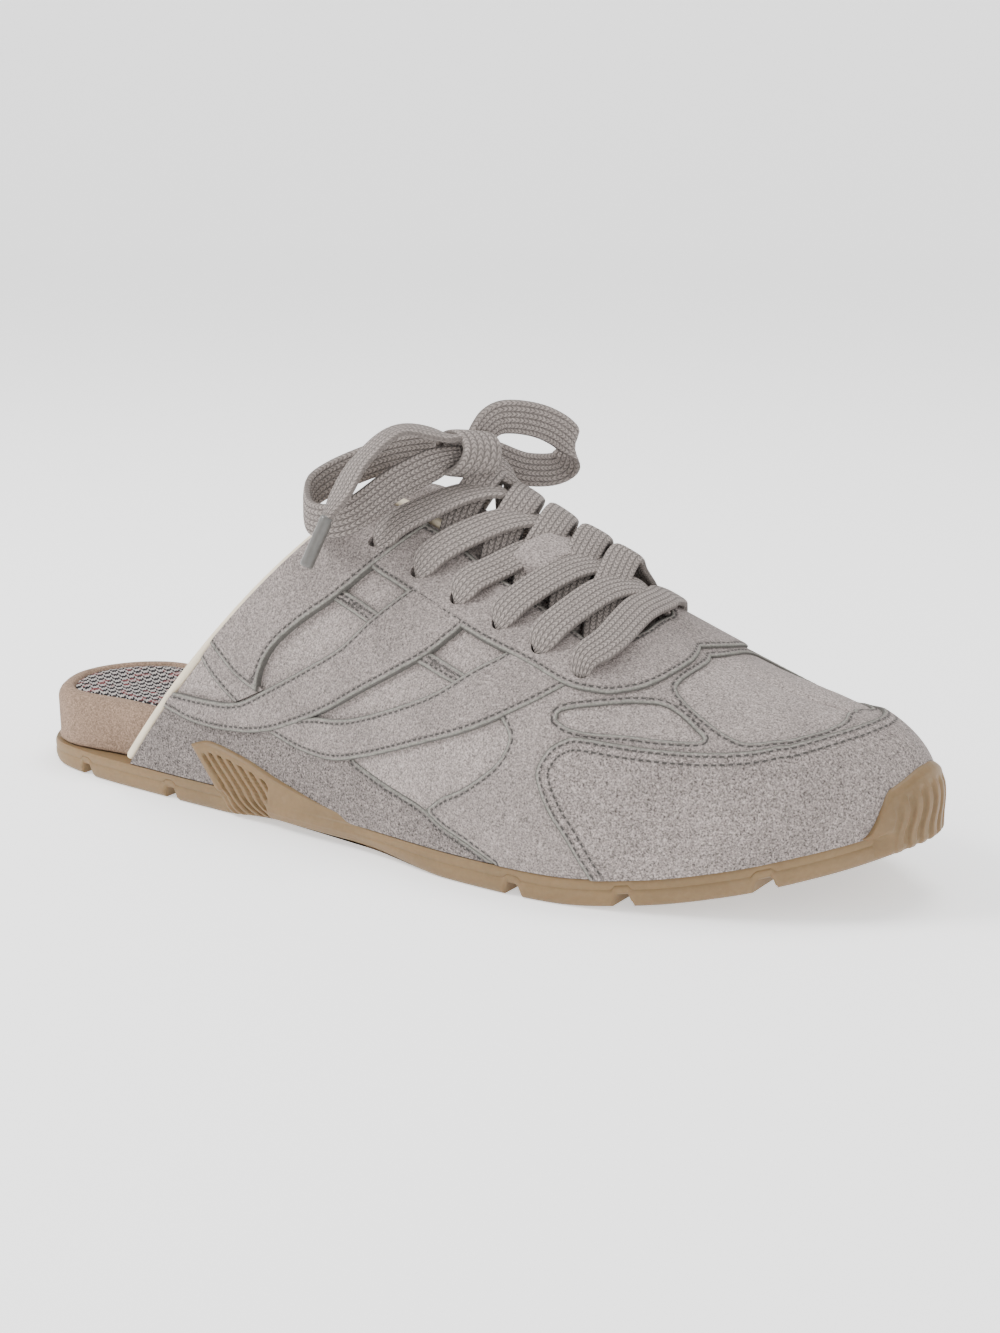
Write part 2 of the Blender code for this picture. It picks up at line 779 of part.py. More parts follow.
def square_to(direction, along):
    """The part of a direction square to a run, with length 1."""
    along = along / np.linalg.norm(along)
    direction = direction - along * direction.dot(along)
    return direction / np.linalg.norm(direction)


def piping(name, side, look):
    """The cream cord round the collar, turned down the lacing gap's edge for its first part."""
    mid = -0.36 * UPPER_WALL
    clear = PIPING_RADIUS + 2 * GAP
    step = 1e-3
    first = 0.0 if side < 0 else 2.0
    ahead = first - side * step
    top = throat_edge(first)

    def off_collar(v):
        along = skin(first, v + step, mid) - skin(first, v - step, mid)
        return square_to(skin(first, v, mid) - skin(ahead, v, mid), along)

    def off_throat(c):
        v = throat_edge(c)
        along = skin(c - step * side, throat_edge(c - step * side), mid) - skin(c, v, mid)
        return square_to(skin(c, v + step, mid) - skin(c, v, mid), along)

    path = [skin(first, v, mid) + clear * off_collar(v)
            for v in np.linspace(PIPING_FOOT, top - 0.01, 14)]
    both = off_collar(top) + off_throat(ahead)
    both = both / np.linalg.norm(both)
    path.append(skin(first, top, mid) + 1.1 * clear * both / both.dot(off_collar(top)))
    for w in (0.03, 0.06, 0.09, 0.125, 0.16):
        c = w if side < 0 else 2 - w
        path.append(skin(c, throat_edge(c), mid) + clear * off_throat(c))
    return tube(name, smooth_path(path, 26), PIPING_RADIUS, 6, look)


def over_off():
    """How far off the last a lace's middle lies on the eyestay."""
    return GAP + OVERLAY_THICKNESS + LACE_CLEAR + LACE_THICKNESS / 2


def strand(name, side, w, drift, lift, look):
    """One lace from its eyelet across the gap, to dip behind the far edge."""
    def at(s, place_w, distance, off):
        c = place_w if s < 0 else 2 - place_w
        v = level(c, distance)
        return skin(c, v, off), normal(c, v)

    seat = over_off()
    near = w if side < 0 else 2 - w
    half = throat_half(near)
    far_half = throat_half(2 - near)
    spots = [
        at(side, w, eyelet(near), seat),
        at(side, w + 0.15 * drift, 0.5 * (half + eyelet(near)), seat + 0.6 * lift),
        at(side, w + 0.35 * drift, 0.45 * half, seat + lift),
        at(side, w + 0.5 * drift, 0.0, seat + lift),
        at(-side, w + 0.7 * drift, 0.5 * far_half, seat + 0.75 * lift),
        at(-side, w + drift, far_half + 0.5 * MM, seat + 0.1 * lift),
    ]
    path = smooth_path([p for p, _ in spots], 8)
    ups = smooth_path([n for _, n in spots], 8)
    return swept(name, path, ups, LACE_WIDTH, LACE_THICKNESS, look)


LACE_DRIFT = 0.06
OVER_LIFT = 2.0 * MM
UNDER_LIFT = 0.4 * MM


def lacing(look):
    """The crossed laces from the throat's front bar to the top eyelets, joined where they meet."""
    w = EYELETS[-1][0]
    bar = [(-1, w, eyelet(w), 0.0), (-1, w + 0.03, 0.5 * throat_half(w), 0.6 * MM),
           (1, w + 0.03, 0.5 * throat_half(2 - w), 0.6 * MM), (1, w, eyelet(2 - w), 0.0)]
    path, ups = [], []
    for s, place_w, distance, lift in bar:
        c = place_w if s < 0 else 2 - place_w
        v = level(c, distance)
        path.append(skin(c, v, over_off() + lift))
        ups.append(normal(c, v))
    joined = swept("lacing", smooth_path(path, 8), smooth_path(ups, 8), LACE_WIDTH,
                   LACE_THICKNESS, look)
    for k, (place, _) in enumerate(EYELETS[:-1]):
        boolean(joined, strand(f"under_{k}", 1, place, LACE_DRIFT, UNDER_LIFT, look), "UNION")
        boolean(joined, strand(f"over_{k}", -1, place, LACE_DRIFT, OVER_LIFT, look), "UNION")
    return joined


# The bow: its knot's place and size, and the routes of its loops and tails as points
# measured from the knot's middle.
KNOT_SHARE = 0.511
KNOT_HEIGHT = 97.9 * MM
KNOT_SIZE = (13.0 * MM, 15.0 * MM, 9.0 * MM)
LOOP_OUTER = ((-4.2, -6.0, -1.5), (-11, -16.5, -6.5), (-19, -27, -14.5), (-29, -28.5, -15.5),
              (-36, -20, -11.5), (-34, -12, -7.5), (-24, -4, -2.5), (-14, -1, 0), (-7.4, 0, 0.4))
LOOP_INNER = ((0.9, 5.2, 4.9), (3.5, 12, 8.4), (10, 22, 6.4), (14, 30, 0.4), (10.5, 31, -6.6),
              (5, 22, -6.6), (0, 14, -3), (-0.8, 8.4, -1.4))
TAIL_OUTER = ((-2.7, -4.6, 4.5), (-11, -15, 7), (-16, -25, 0), (-17, -33, -8), (-18, -38, -14))
TAIL_INNER = ((5.5, 6.5, -4), (7.5, 13, -9), (4, 21, -14.6), (0, 27.4, -21), (-4, 30.6, -28),
              (-8, 33, -36.6))
AGLET_OUTER = ((-18.1, -38.5, -14.8), (-20.7, -43, -25))
AGLET_INNER = ((-8.3, 33.3, -37.7), (-12, 36, -50))
KNOT_GATHER = 9.0 * MM
TAIL_END = 0.45
AGLET_RADIUS = 1.9 * MM


def knot_middle():
    return np.array((KNOT_SHARE * SOLE_LENGTH, 0.01 * BALL_WIDTH, KNOT_HEIGHT))


def route(points):
    return [knot_middle() + np.array(p) * MM for p in points]


def ribbon(name, points, count, look, facing=None):
    """A loop that stands on its edge, or with a facing a tail that narrows to its tip.

    Both are gathered to part of their width where they leave the knot.
    """
    path = smooth_path(route(points), count)
    ups, sizes = [], []
    for i, p in enumerate(path):
        run = path[min(i + 1, count - 1)] - path[max(i - 1, 0)]
        ups.append(np.array(facing) if facing else np.cross(run, (0, 0, 1)))
        away = np.linalg.norm(p - path[0])
        if not facing:
            away = min(away, np.linalg.norm(p - path[-1]))
        size = 0.6 + 0.4 * min(1.0, away / KNOT_GATHER)
        if facing and count - i <= 3:
            size = TAIL_END + (size - TAIL_END) * (count - 1 - i) / 3
        sizes.append(size)
    return swept(name, path, ups, LACE_WIDTH, LACE_THICKNESS, look, sizes)


def knot(look):
    bm = bmesh.new()
    bmesh.ops.create_uvsphere(bm, u_segments=10, v_segments=6, radius=0.5)
    bmesh.ops.scale(bm, verts=bm.verts, vec=KNOT_SIZE)
    bmesh.ops.translate(bm, verts=bm.verts, vec=tuple(knot_middle()))
    mesh = bpy.data.meshes.new("bow_knot")
    bm.to_mesh(mesh)
    bm.free()
    mesh.shade_smooth()
    obj = bpy.data.objects.new("bow_knot", mesh)
    mesh.materials.append(look)
    bpy.context.scene.collection.objects.link(obj)
    return obj


CORDS = ("bow_knot", "bow_loop_outer", "bow_loop_inner", "lace_tail_outer", "lace_tail_inner",
         "aglet_outer", "aglet_inner")


def centre_on_origin():
    """Puts the origin under the middle of the shoe's box, measured without the bow."""
    graph = bpy.context.evaluated_depsgraph_get()
    low, high = np.full(3, 9.0), np.full(3, -9.0)
    for obj in bpy.context.scene.objects:
        if obj.hide_render or obj.name in CORDS:
            continue
        mesh = obj.evaluated_get(graph).to_mesh()
        for vertex in mesh.vertices:
            low = np.minimum(low, vertex.co)
            high = np.maximum(high, vertex.co)
    shift = np.array(((low[0] + high[0]) / 2, (low[1] + high[1]) / 2, low[2]))
    for obj in bpy.context.scene.objects:
        for vertex in obj.data.vertices:
            vertex.co = np.array(vertex.co) - shift
    print("origin is at", np.round(shift / MM, 3), "mm from the heel's back")


def build():
    for obj in list(bpy.data.objects):
        bpy.data.objects.remove(obj)
    gum = material("gum rubber", (0.50, 0.35, 0.20), 0.45)
    wrap = material("wrapped footbed suede", (0.44, 0.36, 0.30), 0.9)
    cloth = material("checked cloth", (0.30, 0.29, 0.28), 0.9)
    suede = material("grey suede", (0.40, 0.36, 0.34), 0.9)
    cream = material("cream binding", (0.78, 0.68, 0.55), 0.6)
    braid = material("grey braid", (0.42, 0.38, 0.35), 0.85)
    tip = material("lace tip", (0.40, 0.38, 0.36), 0.4)

    outsole(gum)
    footbed(wrap)
    sock(cloth)
    body = upper(suede)
    stay = eyestay(suede)
    for k, (w, _) in enumerate(EYELETS):
        for side, c in (("outer", w), ("inner", 2 - w)):
            hole = punch(f"punch_{side}_{k}", c, suede)
            boolean(body, hole, "DIFFERENCE")
            boolean(stay, hole, "DIFFERENCE")
    banded("toe_guard", GUARD, 0, suede)
    for side, word in ((-1, "outer"), (1, "inner")):
        banded(f"rear_band_{word}", REAR_BAND, side, suede)
        banded(f"front_band_{word}", FRONT_BAND, side, suede)
        piping(f"collar_piping_{word}", side, cream)
    tongue(suede)
    lacing(braid)
    knot(braid)
    ribbon("bow_loop_outer", LOOP_OUTER, 15, braid)
    ribbon("bow_loop_inner", LOOP_INNER, 13, braid)
    ribbon("lace_tail_outer", TAIL_OUTER, 9, braid, (-0.3, -0.5, 0.8))
    ribbon("lace_tail_inner", TAIL_INNER, 10, braid, (-0.3, 0.5, 0.8))
    tube("aglet_outer", route(AGLET_OUTER), AGLET_RADIUS, 8, tip)
    tube("aglet_inner", route(AGLET_INNER), AGLET_RADIUS, 8, tip)
    centre_on_origin()


build()
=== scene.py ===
"""Looks of a suede sneaker mule, right foot, in metres, +Z up and +X towards the toe.

Every piece is placed on one last, a function of how far round the shoe and how far up its
wall a point lies, so panels, laces and sole fit each other from all sides.
"""

import math

import bmesh
import bpy
import numpy as np
from mathutils import Matrix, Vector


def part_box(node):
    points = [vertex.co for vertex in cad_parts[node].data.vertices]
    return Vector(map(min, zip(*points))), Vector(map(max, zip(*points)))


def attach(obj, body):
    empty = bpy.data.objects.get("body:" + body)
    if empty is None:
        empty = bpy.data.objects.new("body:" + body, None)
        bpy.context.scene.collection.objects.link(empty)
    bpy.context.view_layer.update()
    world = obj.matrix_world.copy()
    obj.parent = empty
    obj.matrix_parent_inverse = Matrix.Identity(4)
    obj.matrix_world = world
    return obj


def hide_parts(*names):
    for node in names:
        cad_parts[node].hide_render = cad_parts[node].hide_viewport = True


bl_info = {
    "name": "Sneaker mule",
    "version": (1, 0, 0),
    "blender": (4, 5, 0),
    "location": "3D View > Sidebar > Mule",
    "description": "Builds the gum sole, suede panels, footbed, laces and bow of a sneaker mule",
    "category": "Object",
}

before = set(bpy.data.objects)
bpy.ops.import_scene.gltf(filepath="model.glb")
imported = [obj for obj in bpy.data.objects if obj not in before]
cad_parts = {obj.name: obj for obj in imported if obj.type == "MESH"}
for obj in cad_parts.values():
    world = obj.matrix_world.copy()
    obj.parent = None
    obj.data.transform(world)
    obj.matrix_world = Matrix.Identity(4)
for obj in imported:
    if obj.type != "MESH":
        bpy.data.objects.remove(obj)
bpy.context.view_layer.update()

MM = 0.001
SOLE_LENGTH = 266 * MM
BALL_WIDTH = 92 * MM
INSTEP_HEIGHT = 93 * MM
TOE_SPRING = 15 * MM
ARCH_RISE = 1.8 * MM
SOLE_THICKNESS = 7.0 * MM
UPPER_WALL = 2.2 * MM
UPPER_INSET = 0.8 * MM
GAP = 0.3 * MM
TIP = 0.5
SIDES = ((-1, "outer"), (1, "inner"))

# The last's tables are those of the part.
OUTLINE = (
    (0.000, 0.00), (0.030, -0.215), (0.100, -0.300), (0.220, -0.350), (0.360, -0.395),
    (0.500, -0.470), (0.620, -0.530), (0.725, -0.535), (0.825, -0.455), (0.908, -0.340),
    (0.970, -0.180), (1.000, 0.015), (0.978, 0.190), (0.925, 0.330), (0.850, 0.425),
    (0.750, 0.455), (0.650, 0.415), (0.520, 0.320), (0.380, 0.265), (0.220, 0.300),
    (0.100, 0.290), (0.030, 0.200),
)
UNDERSIDE = (
    (0.00, 0.0, 0.10), (0.05, 0.0, 0.00), (0.30, 0.0, 0.00), (0.38, 1.0, 0.00),
    (0.50, 1.0, 0.00), (0.60, 0.0, 0.00), (0.72, 0.0, 0.00), (0.80, 0.0, 0.12),
    (0.87, 0.0, 0.35), (0.94, 0.0, 0.68), (1.00, 0.0, 1.00),
)
RIDGE = (
    (0.36, 0.960, 0.000), (0.42, 0.985, 0.020), (0.47, 0.985, 0.025), (0.53, 0.930, 0.025),
    (0.61, 0.810, 0.020), (0.70, 0.690, 0.010), (0.78, 0.572, 0.000), (0.86, 0.507, 0.010),
    (0.91, 0.472, 0.020),
)
COLLAR_FOOT = 0.168
COLLAR_TOP = 0.473
TOE_TOP = 0.910
WALL = (
    (0.00, 1.00, 1.00, 0.020, 0.25), (0.25, 1.08, 1.02, 0.028, 0.33),
    (0.50, 1.08, 1.00, 0.034, 0.47), (0.70, 1.06, 0.98, 0.034, 0.70),
    (0.85, 1.00, 0.94, 0.028, 0.90), (1.00, 0.90, 0.92, 0.008, 1.00),
)
THROAT = (
    (0.00, 0.130, 0.100), (0.10, 0.135, 0.100), (0.20, 0.150, 0.100), (0.30, 0.180, 0.095),
    (0.50, 0.230, 0.085),
)
THROAT_END = 0.585
EYELETS = (
    (0.100, 0.065), (0.195, 0.080), (0.277, 0.085), (0.364, 0.090), (0.444, 0.090),
    (0.521, 0.090),
)
EYELET_RADIUS = 2.3 * MM

# Round the wall and up it, metres of suede for one step of the last's two numbers.
ROUND = 0.18
UP = 0.075


def column(table, x, k):
    """Column k of a table at x, straight between its rows."""
    rows = np.array(table, float)
    return np.interp(x, rows[:, 0], rows[:, k])


def soft(table, x, k):
    """Column k of a table at x, along a smooth curve that never passes its rows' values."""
    rows = np.array(table, float)
    x = np.asarray(x, float)
    steps = np.diff(rows[:, k]) / np.diff(rows[:, 0])
    i = np.clip(np.searchsorted(rows[:, 0], x) - 1, 0, len(steps) - 1)
    before = np.concatenate([steps[:1], steps])
    after = np.concatenate([steps, steps[-1:]])
    both = before * after
    slope = np.where(both > 0, 2 * both / np.where(both > 0, before + after, 1.0), 0.0)
    h = rows[i + 1, 0] - rows[i, 0]
    t = np.clip((x - rows[i, 0]) / h, 0, 1)
    return (
        (2 * t**3 - 3 * t**2 + 1) * rows[i, k]
        + (t**3 - 2 * t**2 + t) * h * slope[i]
        + (3 * t**2 - 2 * t**3) * rows[i + 1, k]
        + (t**3 - t**2) * h * slope[i + 1]
    )


def between(a, b, c, d, f):
    """A share f of the way from b to c on a smooth curve through four points."""
    return 0.5 * (2 * b + (c - a) * f + (2 * a - 5 * b + 4 * c - d) * f**2
                  + (3 * b - a - 3 * c + d) * f**3)


def lifted(flat, z):
    """Points of the ground plane at their heights."""
    return np.concatenate([flat, z[..., None]], -1)


def sided(c):
    """The side of a c, -1 outer or +1 inner, and its share from the collar to the toe."""
    return np.where(c <= 1, -1.0, 1.0), np.minimum(c, 2 - c)


def on_side(w, side):
    """The c of a share from the collar to the toe, on one side."""
    return w if side < 0 else 2 - w


def outline(u, inset=0.0):
    """Points of the sole's outline, u from 0 at the heel to 0.5 at the toe and on to 1."""
    rows = np.array(OUTLINE) * (SOLE_LENGTH, BALL_WIDTH)
    n = len(rows)
    at = (np.asarray(u, float) % 1.0) * n
    i = np.floor(at).astype(int) % n
    f = (at - np.floor(at))[..., None]
    a, b, c, d = (rows[(i + j) % n] for j in (-1, 0, 1, 2))
    point = between(a, b, c, d, f)
    run = (c - a) + 2 * (2 * a - 5 * b + 4 * c - d) * f + 3 * (3 * b - a - 3 * c + d) * f**2
    run = run / np.linalg.norm(run, axis=-1, keepdims=True)
    inset = np.asarray(inset, float)
    return np.stack([point[..., 0] - inset * run[..., 1], point[..., 1] + inset * run[..., 0]], -1)


def underside(x):
    share = x / SOLE_LENGTH
    return ARCH_RISE * soft(UNDERSIDE, share, 1) + TOE_SPRING * soft(UNDERSIDE, share, 2)


def sole_top(x):
    lift = TOE_SPRING * soft(UNDERSIDE, np.maximum(x / SOLE_LENGTH, 0.5), 2)
    return SOLE_THICKNESS + lift


def outline_at(share, side):
    """The outline's u where it passes a share of the length, on side -1 outer or +1 inner."""
    share = np.asarray(share, float)
    low, high = np.zeros(share.shape), np.full(share.shape, TIP)
    for _ in range(40):
        mid = (low + high) / 2
        less = outline(mid if side < 0 else 1 - mid)[..., 0] < share * SOLE_LENGTH
        low, high = np.where(less, mid, low), np.where(less, high, mid)
    return low if side < 0 else 1 - low


FOOT_OUTER = float(outline_at(COLLAR_FOOT, -1))
FOOT_INNER = float(outline_at(COLLAR_FOOT, 1))


def ridge(w):
    share = COLLAR_TOP + (TOE_TOP - COLLAR_TOP) * w
    return np.stack([share * SOLE_LENGTH, soft(RIDGE, share, 2) * BALL_WIDTH,
                     soft(RIDGE, share, 1) * INSTEP_HEIGHT], -1)


def foot(w, side):
    start = np.where(side < 0, FOOT_OUTER, FOOT_INNER)
    p = outline(start + (TIP - start) * w, UPPER_INSET)
    return lifted(p, sole_top(p[..., 0]) + GAP)


def wall(c, v):
    """The last: c runs 0 outer collar, 1 toe tip, 2 inner collar; v runs 0 sole, 1 ridge."""
    c, v = np.broadcast_arrays(np.asarray(c, float), np.asarray(v, float))
    c, v = np.where(v > 1, 2 - c, c), np.where(v > 1, 2 - v, v)
    side, w = sided(c)
    base, top = foot(w, side), ridge(w)
    angle = v * math.pi / 2
    inward = np.where(v < 1, 1 - np.clip(np.cos(angle), 0, 1) ** column(WALL, w, 1), 1.0)
    rise = np.clip(np.sin(angle), 0, 1) ** column(WALL, w, 2)
    lean = column(WALL, w, 4)
    p = np.stack([
        base[..., 0] + (top[..., 0] - base[..., 0]) * ((1 - lean) * rise + lean * inward),
        base[..., 1] + (top[..., 1] - base[..., 1]) * inward,
        base[..., 2] + (top[..., 2] - base[..., 2]) * rise,
    ], -1)
    bulge = column(WALL, w, 3) * BALL_WIDTH * np.sin(math.pi * np.clip(1.25 * v, 0, 1))
    out = base[..., :2] - top[..., :2]
    flat = np.stack([np.zeros(side.shape), side], -1)
    out = np.where((w < 0.8)[..., None], flat, out)
    p[..., :2] += bulge[..., None] * out / np.linalg.norm(out, axis=-1, keepdims=True)
    return p


def unit(vectors):
    return vectors / np.maximum(np.linalg.norm(vectors, axis=-1, keepdims=True), 1e-12)


def normal(c, v):
    """The outward direction of the last at a place."""
    c, v = np.broadcast_arrays(np.asarray(c, float), np.asarray(v, float))
    step = 1e-3
    v = np.where((np.abs(c - 1) < 0.03) & (v > 0.96), 0.96, v)
    along = wall(c + step, v) - wall(c - step, v)
    up = wall(c, v + step) - wall(c, np.maximum(v - step, 0.0))
    return unit(np.cross(along, up))


def skin(c, v, off=0.0):
    """Points at a distance outside the last's surface, or inside it where off is negative."""
    return wall(c, v) + np.asarray(off, float)[..., None] * normal(c, v)


def throat_half(c):
    """From the ridge to the edge of the lacing gap, which ends in a round front."""
    c = np.asarray(c, float)
    w = np.minimum(c, 2 - c)
    half = np.where(c <= 1, column(THROAT, w, 1), column(THROAT, w, 2)) * BALL_WIDTH
    straight = THROAT[-1][0]
    front = np.clip((w - straight) / (THROAT_END - straight), 0, 1)
    return half * np.sqrt(1 - front**2)


def level(c, distance):
    """The v at a distance across from the ridge."""
    c = np.asarray(c, float)
    side, w = sided(c)
    across = np.abs(ridge(w)[..., 1] - foot(w, side)[..., 1])
    share = np.clip(distance / across, 0, 1) ** (1 / column(WALL, w, 1))
    return np.arccos(share) / (math.pi / 2)


def throat_edge(c):
    return level(c, throat_half(c))


def level_at_height(c, z):
    """The v where the wall reaches a height."""
    c = np.asarray(c, float)
    side, w = sided(c)
    base, top = foot(w, side)[..., 2], ridge(w)[..., 2]
    rise = np.clip((z - base) / (top - base), 0, 1)
    return np.arcsin(rise ** (1 / column(WALL, w, 2))) / (math.pi / 2)


def place_on_wall(x, z):
    """The c and v where the outer wall passes a length and a height."""
    low, high = np.full(np.shape(x), -0.4), np.ones(np.shape(x))
    for _ in range(26):
        mid = (low + high) / 2
        v = level_at_height(mid, z)
        less = wall(mid, v)[..., 0] < x
        low, high = np.where(less, mid, low), np.where(less, high, mid)
    return low, v


def eyelet(c):
    """The distance from the ridge to the middle of the eyelet row."""
    return throat_half(c) + column(EYELETS, np.minimum(c, 2 - c), 1) * BALL_WIDTH


def origin_shift():
    """Where the part's origin lies, measured from the back of the heel."""
    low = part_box("outsole")[0]
    ring = outline(np.arange(64) / 64)
    return np.array((ring[:, 0].min() - low.x, ring[:, 1].min() - low.y, 0.0))


SHIFT = origin_shift()


# Curves

def run_along(points):
    """The distance along a line at each of its points."""
    return np.concatenate([[0], np.cumsum(np.linalg.norm(np.diff(points, axis=0), axis=1))])


def curve(points, spacing):
    """Points evenly spaced along a smooth curve through a few."""
    pts = np.array(points, float)
    if len(pts) == 2:
        fine = pts
    else:
        ends = np.vstack([2 * pts[0] - pts[1], pts, 2 * pts[-1] - pts[-2]])
        f = np.linspace(0, 1, 24, endpoint=False)[:, None]
        parts = []
        for a, b, c, d in zip(ends, ends[1:], ends[2:], ends[3:]):
            parts.append(between(a, b, c, d, f))
        fine = np.vstack(parts + [pts[-1:]])
    along = run_along(fine)
    count = max(2, int(round(along[-1] / spacing)) + 1)
    at = np.linspace(0, along[-1], count)
    return np.stack([np.interp(at, along, fine[:, k]) for k in range(pts.shape[1])], -1)


def counted(points, count):
    """A number of points along a smooth curve through a few."""
    fine = curve(points, 0.2 * MM)
    at = np.linspace(0, len(fine) - 1, count)
    return np.stack([np.interp(at, np.arange(len(fine)), fine[:, k])
                     for k in range(fine.shape[1])], -1)


def smoothstep(low, high, x):
    """0 below low and 1 above high, softly between."""
    t = np.clip((x - low) / (high - low), 0, 1)
    return t * t * (3 - 2 * t)


# Pieces from meshes

def finish_piece(name, bm, look, replaced=(), smooth_angle=45, outward=True):
    """Puts a shaped mesh in the part's place, gives it its finish and rides it on the body."""
    if outward:
        bmesh.ops.recalc_face_normals(bm, faces=bm.faces)
    bmesh.ops.translate(bm, verts=bm.verts, vec=tuple(-SHIFT))
    mesh = bpy.data.meshes.new(name)
    bm.to_mesh(mesh)
    bm.free()
    mesh.shade_smooth()
    mesh.set_sharp_from_angle(angle=math.radians(smooth_angle))
    piece = bpy.data.objects.new(name, mesh)
    mesh.materials.append(look)
    bpy.context.scene.collection.objects.link(piece)
    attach(piece, "root")
    if replaced:
        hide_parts(*replaced)
    return piece


def shaped_grid(columns, rows, place, uv=None):
    """A grid whose points are moved to place(s, t), with s and t from 0 to 1."""
    bm = bmesh.new()
    bmesh.ops.create_grid(bm, x_segments=columns, y_segments=rows, size=0.5)
    flat = np.array([vert.co[:] for vert in bm.verts]) + 0.5
    s, t = flat[:, 0], flat[:, 1]
    if uv is not None:
        layer = bm.loops.layers.uv.new("Weave")
        pairs = np.stack(uv(s, t), -1)
        bm.verts.index_update()
        for face in bm.faces:
            for loop in face.loops:
                loop[layer].uv = pairs[loop.vert.index]
    for vert, point in zip(bm.verts, place(s, t)):
        vert.co = point
    return bm


def joined(parts):
    """One mesh from several, each of them freed."""
    whole = bmesh.new()
    for bm in parts:
        made = bpy.data.meshes.new("part")
        bm.to_mesh(made)
        bm.free()
        whole.from_mesh(made)
        bpy.data.meshes.remove(made)
    return whole


def closed_pair(front, back):
    """Two sheets, one behind the other, joined round their rims."""
    whole = joined((front, back))
    bmesh.ops.bridge_loops(whole, edges=[edge for edge in whole.edges if edge.is_boundary])
    return whole


def close_up(bm):
    """Joins a grid's meeting edges and fills the open ends."""
    bmesh.ops.remove_doubles(bm, verts=bm.verts, dist=2e-6)
    bmesh.ops.dissolve_degenerate(bm, dist=1e-7, edges=bm.edges)
    open_edges = [edge for edge in bm.edges if edge.is_boundary]
    bmesh.ops.holes_fill(bm, edges=open_edges, sides=0)
    return bm


def filled(bm, edges, xs, ys):
    """Fills flat loops of edges and cuts the sheet along lines, without long thin faces."""
    bmesh.ops.triangle_fill(bm, use_beauty=False, use_dissolve=False, edges=edges)
    for axis, values in ((0, xs), (1, ys)):
        direction = [0.0, 0.0, 0.0]
        direction[axis] = 1.0
        for value in values:
            at = [0.0, 0.0, 0.0]
            at[axis] = value
            bmesh.ops.bisect_plane(bm, geom=bm.verts[:] + bm.edges[:] + bm.faces[:], dist=1e-6,
                                   plane_co=at, plane_no=direction)
    grids = (np.array(sorted(xs)), np.array(sorted(ys)))

    def on_line(a, b):
        for axis in (0, 1):
            if abs(a[axis] - b[axis]) < 4e-6 and len(grids[axis]):
                if np.abs(grids[axis] - a[axis]).min() < 4e-6:
                    return True
        return False

    spare = [edge for edge in bm.edges
             if len(edge.link_faces) == 2 and not on_line(edge.verts[0].co, edge.verts[1].co)]
    bmesh.ops.dissolve_edges(bm, edges=spare, use_verts=False)


def flat_sheet(loops, pitch):
    """A flat sheet inside closed lines of points, as a slab whose upper verts are returned."""
    bm = bmesh.new()
    for loop in loops:
        verts = [bm.verts.new((x, y, 0.0)) for x, y in loop]
        for a, b in zip(verts, verts[1:] + verts[:1]):
            bm.edges.new((a, b))
    every = np.vstack(loops)
    low, high = every.min(0), every.max(0)
    lines = []
    for k in range(2):
        lines.append([n * pitch for n in range(int(low[k] / pitch) - 1, int(high[k] / pitch) + 2)
                      if low[k] + 2e-5 < n * pitch < high[k] - 2e-5])
    filled(bm, bm.edges[:], *lines)
    raised = bmesh.ops.extrude_face_region(bm, geom=bm.faces[:], use_keep_orig=True)
    tops = {vert for vert in raised["geom"] if isinstance(vert, bmesh.types.BMVert)}
    return bm, tops


# Finishes

